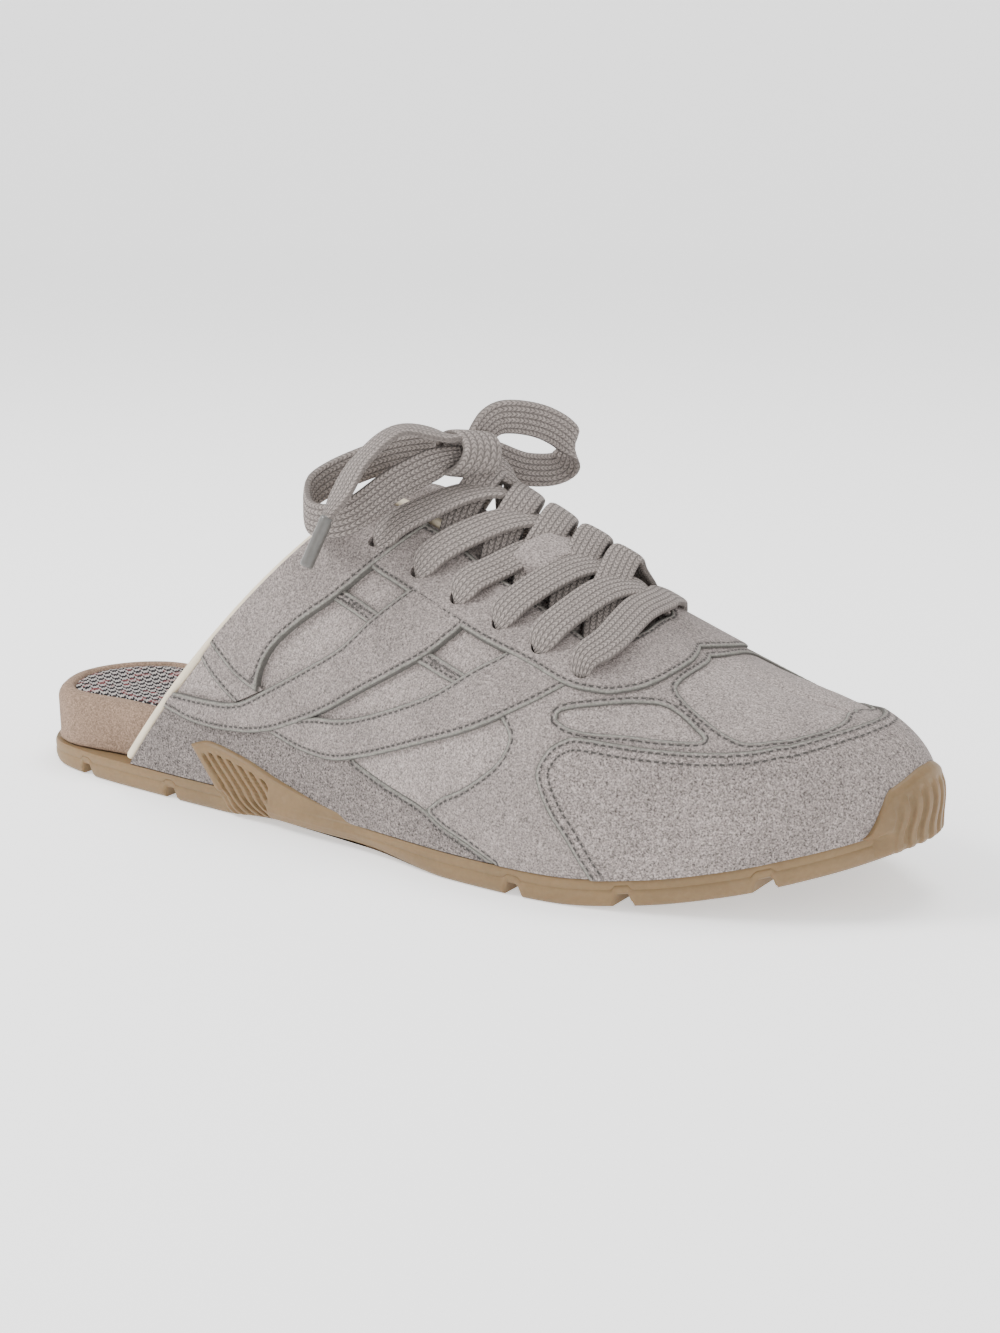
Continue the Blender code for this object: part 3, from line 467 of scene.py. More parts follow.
class Finish:
    """A material and short ways to add and join its nodes."""

    def __init__(self, name, roughness, **fixed):
        self.material = bpy.data.materials.new(name)
        self.material.use_nodes = True
        self.tree = self.material.node_tree
        self.shader = self.tree.nodes["Principled BSDF"]
        self.shader.inputs["Roughness"].default_value = roughness
        for socket, value in fixed.items():
            self.shader.inputs[socket.replace("_", " ")].default_value = value

    def node(self, kind, inputs=(), **settings):
        made = self.tree.nodes.new(kind)
        for key, value in settings.items():
            setattr(made, key, value)
        for socket, value in dict(inputs).items():
            self.feed(made.inputs[socket], value)
        return made

    def feed(self, socket, value):
        if isinstance(value, bpy.types.NodeSocket):
            self.tree.links.new(value, socket)
        elif isinstance(value, tuple) and len(value) == 3 and socket.type == "RGBA":
            socket.default_value = (*value, 1.0)
        else:
            socket.default_value = value

    def math(self, operation, a, b=0.0, c=0.0):
        return self.node("ShaderNodeMath", {0: a, 1: b, 2: c}, operation=operation).outputs[0]

    def times(self, a, b):
        return self.math("MULTIPLY", a, b)

    def times_plus(self, a, b, c):
        return self.math("MULTIPLY_ADD", a, b, c)

    def step(self, value, low, high):
        """0 below low and 1 above high, softly between."""
        made = self.node("ShaderNodeMapRange", {0: value, 1: low, 2: high},
                         interpolation_type="SMOOTHSTEP")
        return made.outputs[0]

    def mix(self, share, a, b, blend="MIX"):
        made = self.node("ShaderNodeMix", {0: share, 6: a, 7: b}, data_type="RGBA",
                         blend_type=blend)
        return made.outputs[2]

    def noise(self, vector, scale, detail=2.0, rough=0.5):
        made = self.node("ShaderNodeTexNoise", {"Vector": vector, "Scale": scale,
                                                "Detail": detail, "Roughness": rough})
        return made.outputs[0]

    def spot(self):
        return self.node("ShaderNodeTexCoord").outputs["Object"]

    def attribute(self, name):
        return self.node("ShaderNodeAttribute", attribute_name=name).outputs["Fac"]

    def weave(self):
        made = self.node("ShaderNodeSeparateXYZ", {0: self.node("ShaderNodeUVMap",
                                                                uv_map="Weave").outputs[0]})
        return made.outputs[0], made.outputs[1]

    def tone(self, colour, value, low, high):
        """The colour made darker and lighter by a value from 0 to 1."""
        share = self.node("ShaderNodeMapRange", {0: value, 1: 0.28, 2: 0.72, 3: low, 4: high})
        grey = self.node("ShaderNodeCombineColor", {k: share.outputs[0] for k in range(3)})
        return self.mix(1.0, colour, grey.outputs[0], "MULTIPLY")

    def done(self, colour, height_mm=None, strength=1.0):
        self.feed(self.shader.inputs["Base Color"], colour)
        if height_mm is not None:
            bump = self.node("ShaderNodeBump", {"Strength": strength, "Distance": MM,
                                                "Height": height_mm})
            self.tree.links.new(bump.outputs[0], self.shader.inputs["Normal"])
        return self.material


def suede(name, colour, rows_mm, edge, stitch_hole_shade, grain=1.0):
    """Brushed suede with a raw edge and rows of stitches at distances from that edge, with painted
    shadow along the edge, painted shade in the stitch furrows and dark dashes painted as the shade
    of the stitch holes.
    """
    look = Finish(name, 0.95, Sheen_Weight=0.05, Sheen_Roughness=0.6,
                  Specular_IOR_Level=0.08)
    spot = look.spot()
    fine = look.noise(spot, 2200.0, 2.0, 0.6)
    tuft = look.noise(spot, 1150.0, 2.0, 0.6)
    nap = look.noise(spot, 70.0, 3.0, 0.55)
    wide = look.noise(spot, 18.0, 2.0, 0.5)
    body = look.tone(colour, fine, 1 - 0.42 * grain, 1 + 0.40 * grain)
    body = look.tone(body, tuft, 1 - 0.16 * grain, 1 + 0.16 * grain)
    body = look.tone(body, nap, 0.92, 1.07)
    body = look.tone(body, wide, 0.94, 1.06)
    height = look.times(fine, 0.26 * grain)
    if rows_mm:
        rim = look.times(look.attribute("rim"), 1000.0)
        along = look.times(look.attribute("along"), 1000.0)
        uneven = look.times_plus(look.noise(spot, 420.0, 2.0), 0.9, -0.45)
        raw = look.step(look.math("ADD", rim, uneven), 0.9, 0.55)
        frayed = look.tone(edge, look.noise(spot, 1500.0, 2.0), 0.62, 1.3)
        body = look.mix(look.times(raw, 0.75), body, frayed)
        # Painted shadow: a near-black line along each panel's raw edge and down its side wall,
        # where shade falls at the step.
        painted_edge_shadow = look.step(look.times_plus(uneven, 0.35, rim), 0.30, 0.06)
        body = look.mix(look.times(painted_edge_shadow, 0.72), body, (0.06, 0.056, 0.052))
        height = look.times_plus(look.step(rim, 0.0, 0.5), 0.35, height)
        for row in rows_mm:
            away = look.math("ABSOLUTE", look.math("SUBTRACT", rim, row))
            furrow = look.step(away, 0.62, 0.1)
            beat = look.math("FRACT", look.times(along, 1 / 1.85))
            dashes = look.times(look.step(beat, 0.06, 0.16), look.step(beat, 0.78, 0.66))
            stitch = look.times(look.step(away, 0.34, 0.16), dashes)
            # Painted shade: the stitch furrow is darkened as well as sunk.
            body = look.mix(look.times(furrow, 0.32), body, (0.09, 0.085, 0.08))
            # Painted shade: the dark dashes stand for the shade in the stitch holes between the
            # threads, not the thread's own colour.
            body = look.mix(look.times(stitch, 0.9), body, stitch_hole_shade)
            height = look.times_plus(furrow, -0.42, height)
            height = look.times_plus(stitch, 0.2, height)
    return look.done(body, height, 0.9)


def gum(name, colour, dusty):
    """Gum rubber: slightly clear, with a soft gloss and patches of dust."""
    look = Finish(name, 0.5, Subsurface_Weight=0.12, Subsurface_Scale=0.003,
                  Specular_IOR_Level=0.22)
    spot = look.spot()
    cloud = look.noise(spot, 40.0, 3.0, 0.6)
    fine = look.noise(spot, 900.0, 2.0, 0.6)
    body = look.tone(colour, cloud, 0.86, 1.12)
    body = look.tone(body, fine, 0.94, 1.05)
    dust = look.step(look.noise(spot, 300.0, 3.0, 0.7), 0.5, 0.75)
    body = look.mix(look.times(dust, 0.18), body, dusty)
    rough = look.node("ShaderNodeMapRange", {0: cloud, 1: 0.3, 2: 0.7, 3: 0.42, 4: 0.58})
    look.feed(look.shader.inputs["Roughness"], rough.outputs[0])
    return look.done(body, look.times(fine, 0.05), 0.7)


def checked_cloth(name, dark, light, accent, period_mm):
    """A woven check: threads of two colours over each other, with a little accent yarn."""
    look = Finish(name, 0.92, Sheen_Weight=0.02, Specular_IOR_Level=0.1)
    spot = look.node("ShaderNodeSeparateXYZ", {0: look.spot()})
    x = look.times(spot.outputs[0], 1000.0 / period_mm)
    y = look.times(spot.outputs[1], 1000.0 / period_mm)
    warp = look.step(look.math("FRACT", x), 0.50, 0.58)
    weft = look.step(look.math("FRACT", y), 0.50, 0.58)
    twill = look.math("FRACT", look.times(look.math("ADD", x, y), 2.0))
    over = look.step(twill, 0.45, 0.55)
    shown = look.math("ADD", look.times(warp, over),
                      look.times(weft, look.math("SUBTRACT", 1.0, over)))
    body = look.mix(shown, dark, light)
    fluff = look.noise(look.spot(), 700.0, 2.0, 0.6)
    pink = look.times(look.step(look.noise(look.spot(), 300.0, 1.0), 0.60, 0.66), 0.4)
    body = look.mix(pink, body, accent)
    body = look.tone(body, fluff, 0.82, 1.15)
    ridges = look.math("SINE", look.times(look.math("ADD", x, y), 8 * math.pi))
    height = look.times_plus(ridges, 0.07, look.times(fluff, 0.12))
    return look.done(body, height)


def braid(name, colour, dark, ribs):
    """Flat braided lace: ribs along it with slanting yarns that meet in small arrows, and painted
    shade in the grooves and gaps between them.
    """
    look = Finish(name, 0.9, Sheen_Weight=0.08, Specular_IOR_Level=0.12)
    across, along = look.weave()
    lane = look.times(across, float(ribs))
    cell = look.math("FRACT", lane)
    bend = look.math("ABSOLUTE", look.math("SUBTRACT", cell, 0.5))
    yarn = look.math("FRACT", look.times_plus(along, 1000.0 / 1.25,
                                        look.times(bend, 1.5)))
    groove = look.step(bend, 0.30, 0.48)
    gap = look.step(look.math("ABSOLUTE", look.math("SUBTRACT", yarn, 0.5)), 0.27, 0.44)
    fluff = look.noise(look.spot(), 1300.0, 2.0, 0.6)
    body = look.tone(colour, fluff, 0.78, 1.2)
    # Painted shade: the grooves between ribs and the gaps between yarns are darkened towards the
    # dark colour.
    deep = look.math("MAXIMUM", look.times(groove, 0.62),
                     look.times(gap, 0.55))
    body = look.mix(deep, body, dark)
    height = look.times_plus(groove, -0.30, look.times(gap, -0.22))
    height = look.times_plus(fluff, 0.1, height)
    return look.done(body, height)


def leather(name, colour, roughness):
    """Smooth thin leather with a fine grain and slight creases."""
    look = Finish(name, roughness, Specular_IOR_Level=0.4)
    spot = look.spot()
    pores = look.node("ShaderNodeTexVoronoi", {"Vector": spot, "Scale": 1100.0}).outputs[0]
    creases = look.noise(spot, 300.0, 3.0, 0.6)
    body = look.tone(colour, look.noise(spot, 90.0, 3.0), 0.92, 1.06)
    height = look.times_plus(creases, 0.12, look.times(pores, 0.05))
    return look.done(body, height, 0.6)


def coated(name, colour):
    """A lace tip: braid pressed in a clear sleeve."""
    look = Finish(name, 0.35, Coat_Weight=0.2, Coat_Roughness=0.25)
    spot = look.spot()
    body = look.tone(colour, look.noise(spot, 500.0, 3.0, 0.6), 0.82, 1.12)
    return look.done(body, look.times(look.noise(spot, 250.0, 2.0), 0.12), 0.5)


# Settings that a user would change

class MuleSizes(bpy.types.PropertyGroup):
    """Sizes of the pieces laid on the last."""

    lace_width: bpy.props.FloatProperty(
        name="Lace width", description="Width of the flat lace", default=9.0 * MM,
        min=5 * MM, max=11 * MM, unit="LENGTH")
    lace_thickness: bpy.props.FloatProperty(
        name="Lace thickness", description="Thickness of the flat lace", default=2.2 * MM,
        min=1 * MM, max=3 * MM, unit="LENGTH")
    piping_radius: bpy.props.FloatProperty(
        name="Piping radius", description="Radius of the cord round the collar",
        default=1.3 * MM, min=0.8 * MM, max=2 * MM, unit="LENGTH")
    suede_pitch: bpy.props.FloatProperty(
        name="Suede mesh pitch", description="Size of the faces of the suede panels",
        default=1.3 * MM, min=0.9 * MM, max=4 * MM, unit="LENGTH")
    check_period: bpy.props.FloatProperty(
        name="Check period", description="Repeat of the check on the sock liner, millimetres",
        default=3.2, min=2.0, max=8.0)


class MuleColours(bpy.types.PropertyGroup):
    """Colours of the finishes."""

    suede: bpy.props.FloatVectorProperty(
        name="Suede", description="Brushed suede of the panels", subtype="COLOR", size=3,
        default=(0.252, 0.218, 0.204), min=0, max=1)
    raw_edge: bpy.props.FloatVectorProperty(
        name="Raw edge", description="Cut edge of the suede", subtype="COLOR", size=3,
        default=(0.245, 0.243, 0.214), min=0, max=1)
    # Painted shade of the stitch holes, used for the dark dashes of the stitch rows.
    stitch_hole_shade: bpy.props.FloatVectorProperty(
        name="Thread", description="Sewing thread in its furrow", subtype="COLOR", size=3,
        default=(0.05, 0.048, 0.045), min=0, max=1)
    gum: bpy.props.FloatVectorProperty(
        name="Gum", description="Gum rubber of the sole", subtype="COLOR", size=3,
        default=(0.188, 0.124, 0.063), min=0, max=1)
    wrap: bpy.props.FloatVectorProperty(
        name="Footbed wrap", description="Suede round the footbed", subtype="COLOR", size=3,
        default=(0.245, 0.168, 0.120), min=0, max=1)
    lace: bpy.props.FloatVectorProperty(
        name="Lace", description="Yarn of the laces", subtype="COLOR", size=3,
        default=(0.29, 0.252, 0.232), min=0, max=1)
    cream: bpy.props.FloatVectorProperty(
        name="Cream", description="Leather of the piping", subtype="COLOR", size=3,
        default=(0.76, 0.66, 0.50), min=0, max=1)


def sizes():
    return bpy.context.scene.mule_sizes


def colours():
    return bpy.context.scene.mule_colours


def suede_look(kind):
    """The shared suede finishes, made once."""
    rows = {"panel": (1.25,), "low": (1.25,), "guard": (1.2, 3.2), "plain": ()}[kind]
    name = f"grey suede {kind}"
    found = bpy.data.materials.get(name)
    if found:
        return found
    c = colours()
    grain = {"guard": 1.8, "low": 2.0}.get(kind, 1.5)
    # The low quarters use a darker copy of the suede (0.74): painted shade on the low wall by the
    # sole.
    share = {"plain": 1.14, "low": 0.74, "panel": 0.98}.get(kind, 1.0)
    colour = tuple(share * x for x in c.suede)
    return suede(name, colour, rows, tuple(c.raw_edge), tuple(c.stitch_hole_shade), grain)


def gum_look():
    found = bpy.data.materials.get("moulded gum")
    return found or gum("moulded gum", tuple(colours().gum), (0.22, 0.16, 0.10))


def braid_look():
    found = bpy.data.materials.get("grey braid")
    # The second colour is the painted shade in the braid's grooves and gaps.
    return found or braid("grey braid", tuple(colours().lace), (0.075, 0.066, 0.06), 6)


# Sole

GROOVES = (0.098, 0.228, 0.680, 0.785, 0.900)
GROOVE_WIDTH = 4.0 * MM
GROOVE_DEPTH = 3.0 * MM


def groove(x):
    """How deep the cross grooves cut into the underside at a length."""
    deep = np.zeros(np.shape(x))
    for share in GROOVES:
        away = np.abs(x - share * SOLE_LENGTH)
        half = GROOVE_WIDTH / 2
        deep = np.maximum(deep, 1 - smoothstep(half - 0.5 * MM, half + 0.5 * MM, away))
    return GROOVE_DEPTH * deep


def side_tuck(share, t):
    """How far the sole's side stands in from its outline: more along the waist."""
    tuck = np.interp(t, (0.0, 0.10, 0.24, 0.36, 0.9, 1.0), (1.5, 0.55, 0.2, 0.0, 0.0, 0.35)) * MM
    arch = 0.9 * MM * soft(UNDERSIDE, share, 1)
    return tuck + arch * np.interp(t, (0.0, 0.3, 0.42, 0.6, 1.0), (1.0, 0.9, 0.6, 0.05, 0.0))


def sole_side(u, t):
    """A point on the sole's side, t from 0 at the underside's edge to 1 at its top."""
    share = outline(u)[..., 0] / SOLE_LENGTH
    lip = 0.28 * MM * np.exp(-(((t - 0.62) / 0.05) ** 2))
    p = outline(u, side_tuck(share, t) + lip)
    low = underside(p[..., 0]) + groove(p[..., 0])
    z = low + (sole_top(p[..., 0]) - low) * t
    return lifted(p, z)


def make_sole():
    """The outsole: its side is a grid, and its two faces are filled and cut across."""
    around, up = 760, 16
    bm = shaped_grid(around, up, sole_side)
    bmesh.ops.remove_doubles(bm, verts=bm.verts, dist=2e-6)
    low_edges = [e for e in bm.edges if e.is_boundary
                 and e.verts[0].co.z < underside(e.verts[0].co.x) + GROOVE_DEPTH + 0.8 * MM]
    high_edges = [e for e in bm.edges if e.is_boundary and e not in set(low_edges)]
    side_verts, side_faces = set(bm.verts), set(bm.faces)
    for edges in (low_edges, high_edges):
        bmesh.ops.triangle_fill(bm, use_beauty=False, use_dissolve=False, edges=edges)
    caps = [f for f in bm.faces if f not in side_faces]
    for face in caps:
        face.material_index = 1
    cuts = [k * 4 * MM for k in range(1, 66)]
    for share in GROOVES:
        for d in (-2.5, -1.5, 1.5, 2.5):
            cuts.append(share * SOLE_LENGTH + d * MM)
    for x in sorted(cuts):
        geom = {v for f in caps for v in f.verts} | {e for f in caps for e in f.edges} | set(caps)
        bmesh.ops.bisect_plane(bm, geom=list(geom), dist=1e-6, plane_co=(x, 0, 0),
                               plane_no=(1, 0, 0))
        caps = [f for f in bm.faces if f.material_index == 1]
    for vert in bm.verts:
        if vert not in side_verts:
            x = vert.co.x
            top = float(sole_top(x))
            low = float(underside(x) + groove(x))
            vert.co.z = top if abs(vert.co.z - top) < abs(vert.co.z - low) else low
    for face in caps:
        face.material_index = 0
    return finish_piece("gum_outsole", bm, gum_look(), ["outsole"], 40)


FIN_FROM, FIN_TO = 0.295, 0.54
FIN_TIP_BACK = 0.036
FIN_RISE = 12.0 * MM
FIN_TOP = ((0.0, 0.84), (0.09, 1.0), (0.25, 0.84), (0.45, 0.50), (0.70, 0.20), (1.0, 0.06))
FIN_THICKNESS = 1.9 * MM
FIN_ON_SOLE, FIN_ON_UPPER = 0.42, 0.58


def gum_wall(name, columns, rows, surface, relief, depth):
    """A rubber piece whose face stands out by its relief and whose back lies at a depth."""
    front = shaped_grid(columns, rows, lambda s, t: surface(s, t, relief(s, t)))
    back = shaped_grid(columns, rows, lambda s, t: surface(s, t, np.full(s.shape, -depth)))
    return finish_piece(name, closed_pair(front, back), gum_look(), (), 50)


def make_fin():
    """The rubber fin on the outer waist: slanting ribs inside a smooth border."""
    def surface(s, t, proud):
        rise = FIN_RISE * soft(FIN_TOP, s, 1)
        high = np.clip((t - FIN_ON_SOLE) / FIN_ON_UPPER, 0, 1)
        x = SOLE_LENGTH * (FIN_FROM + (FIN_TO - FIN_FROM) * s - FIN_TIP_BACK * high * (1 - s))
        u = outline_at(x / SOLE_LENGTH, -1)
        top = sole_top(x)
        low = underside(x) + 0.4 * MM
        z_low = low + (top - low) * np.clip(t / FIN_ON_SOLE, 0, 1)
        floor = underside(x)
        climb = np.clip((z_low - floor) / (top - floor), 0, 0.9)
        side = outline(u, side_tuck(x / SOLE_LENGTH, climb) - proud)
        low_point = lifted(side, z_low)
        c, v = place_on_wall(x, top + GAP + rise * high)
        high_point = skin(c, v, GAP + proud)
        share = smoothstep(0.34, 0.5, t)[:, None]
        return low_point * (1 - share) + high_point * share

    def relief(s, t):
        """How far the fin stands out: border, ribs and thin rim."""
        rise = FIN_RISE * soft(FIN_TOP, s, 1)
        high = np.clip((t - FIN_ON_SOLE) / FIN_ON_UPPER, 0, 1)
        run = (FIN_TO - FIN_FROM) * SOLE_LENGTH
        x = run * s - FIN_TIP_BACK * SOLE_LENGTH * high * (1 - s)
        below = t < FIN_ON_SOLE
        z = np.where(below, (t / FIN_ON_SOLE - 1) * SOLE_THICKNESS, rise * high)
        from_top = rise * (1 - high) + np.where(below, -z, 0.0)
        from_rear = run * s
        ahead = (x + z) / (3.15 * MM)
        rib = 0.5 + 0.5 * np.cos(2 * math.pi * ahead)
        ribs = 0.95 * MM * smoothstep(0.25, 0.62, rib)
        inside = (smoothstep(2.6 * MM, 3.3 * MM, from_top)
                  * smoothstep(2.4 * MM, 3.2 * MM, from_rear)
                  * (1 - smoothstep(19.5 * MM, 21 * MM, x)))
        field = 0.55 * MM + ribs
        border = FIN_THICKNESS * (1 - 0.25 * high)
        proud = border * (1 - inside) + field * inside
        on_sole = 1 - smoothstep(0.30, 0.46, t)
        ends = smoothstep(0.36, 0.96, s)
        ends = np.maximum(ends, on_sole * (1 - smoothstep(0.0, 9.0 * MM, from_rear)))
        edge = np.minimum.reduce([(1 - t) * 14, s * 42, (1 - s) * 12, t * 10 + 0.3])
        return 0.1 * MM - 0.6 * MM * ends + proud * (1 - ends) * np.sqrt(np.clip(edge, 0, 1))

    return gum_wall("gum_fin", 230, 60, surface, relief, 0.6 * MM)


BUMPER_FROM = 0.872
BUMPER_RISE = 11.0 * MM
BUMPER_THICKNESS = 2.1 * MM


def make_bumper():
    """The rubber wrap over the toe: upright wavy ribs under a smooth border."""
    def surface(s, t, proud):
        c = BUMPER_FROM + (2 - 2 * BUMPER_FROM) * s
        side, w = sided(c)
        start = np.where(side < 0, FOOT_OUTER, FOOT_INNER)
        u = start + (TIP - start) * w
        x = outline(u)[:, 0]
        top = sole_top(x)
        rise = 0.3 * MM + BUMPER_RISE * (0.78 * smoothstep(BUMPER_FROM, BUMPER_FROM + 0.046, w)
                                         + 0.22 * smoothstep(BUMPER_FROM + 0.02, 0.99, w))
        fade = smoothstep(0.0, 0.2, np.minimum(s, 1 - s))
        low_share = 0.36
        high = np.clip((t - low_share) / (1 - low_share), 0, 1)
        low = underside(x) + 1.2 * MM
        z_low = low + (top - low) * np.clip(t / low_share, 0, 1)
        off = 1.5 * MM
        edge = outline(u, UPPER_INSET - (off + proud) * fade + 1.2 * MM * (1 - fade)
                       + 0.5 * MM * (1 - np.clip(t / 0.1, 0, 1)))
        low_point = lifted(edge, z_low)
        v = level_at_height(c, top + GAP + rise * high)
        high_point = skin(c, v, off + proud)
        share = smoothstep(0.28, 0.44, t)[:, None]
        return low_point * (1 - share) + high_point * share

    def relief(s, t):
        climb = smoothstep(0.45, 0.85, np.minimum(s, 1 - s) / 0.30)
        phase = 11 * (s - 0.5) + 0.20 * np.sin(2.4 * math.pi * t)
        rib = 0.5 + 0.5 * np.cos(2 * math.pi * phase)
        ribs = 0.95 * MM * smoothstep(0.10, 0.75, rib)
        inside = smoothstep(0.16, 0.30, 1 - t) * climb
        field = 1.0 * MM + ribs
        proud = BUMPER_THICKNESS * (1 - 0.3 * t) * (1 - inside) + field * inside
        edge = np.minimum.reduce([(1 - t) * 10, np.minimum(s, 1 - s) * 22, t * 8 + 0.45])
        return 0.1 * MM + proud * np.sqrt(np.clip(edge, 0, 1))

    return gum_wall("gum_toe_bumper", 320, 48, surface, relief, 1.2 * MM)


# Footbed and sock liner

FOOTBED = (
    (0.0, 1.0), (0.20, 1.0), (0.36, 0.85), (0.50, 0.45), (0.62, 0.12), (0.70, 0.0), (1.0, 0.0),
)
FOOTBED_HEEL = 15.4 * MM
FOOTBED_FORE = 4.5 * MM
FOOTBED_INSET = 1.3 * MM
FOOTBED_SIDE = UPPER_INSET + UPPER_WALL + 2 * GAP + 1.5 * MM
FOOTBED_RIM = 5.0 * MM
# Round the footbed's rim: how far in from its side, and how far up from its foot, or down
# from its top where negative, in millimetres.
FOOTBED_ROLL = (
    (0.6, 0.0), (0.1, 0.25), (0.0, 1.0), (0.25, 2.0), (0.0, -4.2), (0.0, -3.2), (0.2, -2.2),
    (0.75, -1.25), (1.6, -0.5), (2.7, -0.12), (3.6, -0.1), (4.3, -0.45), (4.9, -1.2),
    (5.0, -1.9),
)


def footbed_side(u):
    share = outline(u)[..., 0] / SOLE_LENGTH
    t = np.clip((share - 0.06) / (COLLAR_FOOT - 0.085), 0, 1)
    return FOOTBED_INSET + (FOOTBED_SIDE - FOOTBED_INSET) * t * t * (3 - 2 * t)


def footbed_top(x):
    share = soft(FOOTBED, x / SOLE_LENGTH, 1)
    return sole_top(x) + GAP + FOOTBED_FORE + (FOOTBED_HEEL - FOOTBED_FORE) * share


def make_footbed():
    """The footbed wrapped in suede, with a rolled rim round the sock liner's place."""
    def place(s, t):
        rows = np.array(FOOTBED_ROLL)
        at = t * (len(rows) - 1)
        inset = np.interp(at, np.arange(len(rows)), rows[:, 0]) * MM
        p = outline(s, footbed_side(s) + inset)
        low, high = sole_top(p[:, 0]) + GAP, footbed_top(p[:, 0])
        rise = np.stack([np.where(r[1] >= 0, low + r[1] * MM, high + r[1] * MM) for r in rows])
        k = np.clip(np.floor(at).astype(int), 0, len(rows) - 2)
        f = at - k
        n = np.arange(len(s))
        z = rise[k, n] * (1 - f) + rise[k + 1, n] * f
        sag = 0.12 * MM * np.sin(s * 2 * math.pi * 23) * np.exp(-((at - 5) ** 2) / 6)
        return lifted(p, z + sag)

    bm = close_up(shaped_grid(300, 26, place))
    look = bpy.data.materials.get("footbed suede")
    c = colours()
    look = look or suede("footbed suede", tuple(c.wrap), (), tuple(c.raw_edge),
                         tuple(c.stitch_hole_shade), 1.1)
    return finish_piece("footbed_wrap", bm, look, ["footbed"], 60)


def make_sock():
    """The checked cloth liner, sunk inside the footbed's rim and dished under the heel."""
    u = np.arange(240) / 240
    ring = outline(u, footbed_side(u) + FOOTBED_RIM + 0.1 * MM)
    bm, tops = flat_sheet([ring], 3.0 * MM)
    for vert in bm.verts:
        x, y = vert.co.x, vert.co.y
        away = np.sqrt(((ring - (x, y)) ** 2).sum(1).min())
        roll = 0.45 * MM * (1 - smoothstep(0.0, 2.5 * MM, away))
        dish = 0.5 * MM * smoothstep(2 * MM, 22 * MM, away)
        top = float(footbed_top(x)) - 0.55 * MM - roll - dish
        vert.co.z = top if vert in tops else top - 1.0 * MM + roll
    look = checked_cloth("checked cloth", (0.012, 0.011, 0.012), (0.40, 0.37, 0.35),
                         (0.28, 0.07, 0.07), sizes().check_period)
    return finish_piece("checked_sock", bm, look, ["sock_liner"], 40)


# Suede panels: each edge is a short line of points, how far from the collar to the toe
# and how far up the wall; a raw edge is sewn along.

REAR_LOW = ((0.0, 0.14), (0.05, 0.126), (0.10, 0.13), (0.145, 0.155), (0.195, 0.23), (0.23, 0.31),
            (0.285, 0.44), (0.305, 0.515), (0.315, 0.57))
REAR_TOP = ((0.205, 0.58), (0.185, 0.465), (0.172, 0.38), (0.145, 0.308), (0.115, 0.241),
            (0.09, 0.194), (0.05, 0.179), (0.0, 0.175))
FRONT_LOW = ((0.145, 0.15), (0.187, 0.135), (0.228, 0.137), (0.266, 0.17), (0.33, 0.244),
             (0.398, 0.327), (0.465, 0.438), (0.509, 0.533), (0.52, 0.57))
FRONT_TOP = ((0.405, 0.58), (0.396, 0.54), (0.363, 0.465), (0.33, 0.384), (0.287, 0.315),
             (0.229, 0.24), (0.187, 0.215), (0.16, 0.195))
LOWER_SEAM = ((0.255, 0.152), (0.30, 0.125), (0.35, 0.10), (0.381, 0.067), (0.411, 0.042),
              (0.439, 0.013), (0.45, 0.0))
VAMP_REAR = ((0.425, 0.39), (0.449, 0.35), (0.451, 0.315), (0.443, 0.268), (0.425, 0.222),
             (0.40, 0.172), (0.377, 0.138), (0.358, 0.095))
EYE_WINDOW = ((0.511, 0.43), (0.516, 0.461), (0.57, 0.519), (0.613, 0.560), (0.643, 0.577),
              (0.667, 0.561), (0.690, 0.515), (0.701, 0.482), (0.689, 0.466), (0.646, 0.451),
              (0.605, 0.44), (0.562, 0.422), (0.53, 0.418), (0.511, 0.43))
TOE_WINDOW = ((1.0, 0.905), (0.984, 0.874), (0.966, 0.833), (0.942, 0.765), (0.912, 0.675),
              (0.873, 0.60), (0.833, 0.547), (0.795, 0.506), (0.758, 0.486), (0.731, 0.515),
              (0.700, 0.574), (0.675, 0.621), (0.660, 0.661), (0.663, 0.703), (0.676, 0.765),
              (0.690, 0.825), (0.702, 0.885), (0.709, 0.94), (0.710, 1.0))
GUARD_EDGE = ((0.562, 0.0), (0.546, 0.08), (0.535, 0.127), (0.521, 0.172), (0.505, 0.237),
              (0.50, 0.28), (0.51, 0.339), (0.525, 0.373), (0.547, 0.396), (0.613, 0.405),
              (0.697, 0.42), (0.738, 0.431), (0.776, 0.450), (0.814, 0.488), (0.867, 0.548),
              (0.905, 0.594), (0.935, 0.636), (0.96, 0.676), (0.982, 0.715), (1.0, 0.748))
STAY_LOW = ((0.115, 0.60), (0.131, 0.574), (0.196, 0.563), (0.266, 0.557), (0.346, 0.549),
            (0.435, 0.545), (0.509, 0.529), (0.557, 0.543), (0.577, 0.558), (0.609, 0.604),
            (0.634, 0.665), (0.654, 0.735), (0.669, 0.80), (0.679, 0.865), (0.683, 0.93),
            (0.682, 1.0))
COLLAR_EDGE = ((0.139, 0.70), (0.133, 0.643), (0.128, 0.582), (0.122, 0.517), (0.114, 0.464),
               (0.101, 0.411), (0.091, 0.358), (0.088, 0.319), (0.094, 0.27), (0.105, 0.228))
TAB_TOP = ((0.105, 0.228), (0.07, 0.245), (0.034, 0.27), (0.0, 0.295))
TAB_LOW = ((0.0, 0.258), (0.029, 0.232), (0.058, 0.21), (0.085, 0.19))
EDGE_IN = 0.012
ON_UPPER = 0.02 * MM


def throat_line(first, last, side, inset):
    """The lacing gap's edge from one place to another, a little down from it."""
    w = np.linspace(first, last, max(3, int(abs(last - first) * 180)))
    c = on_side(w, side)
    v = throat_edge(c) - inset * (throat_half(c) > 1e-6)
    return np.stack([w, v], -1)


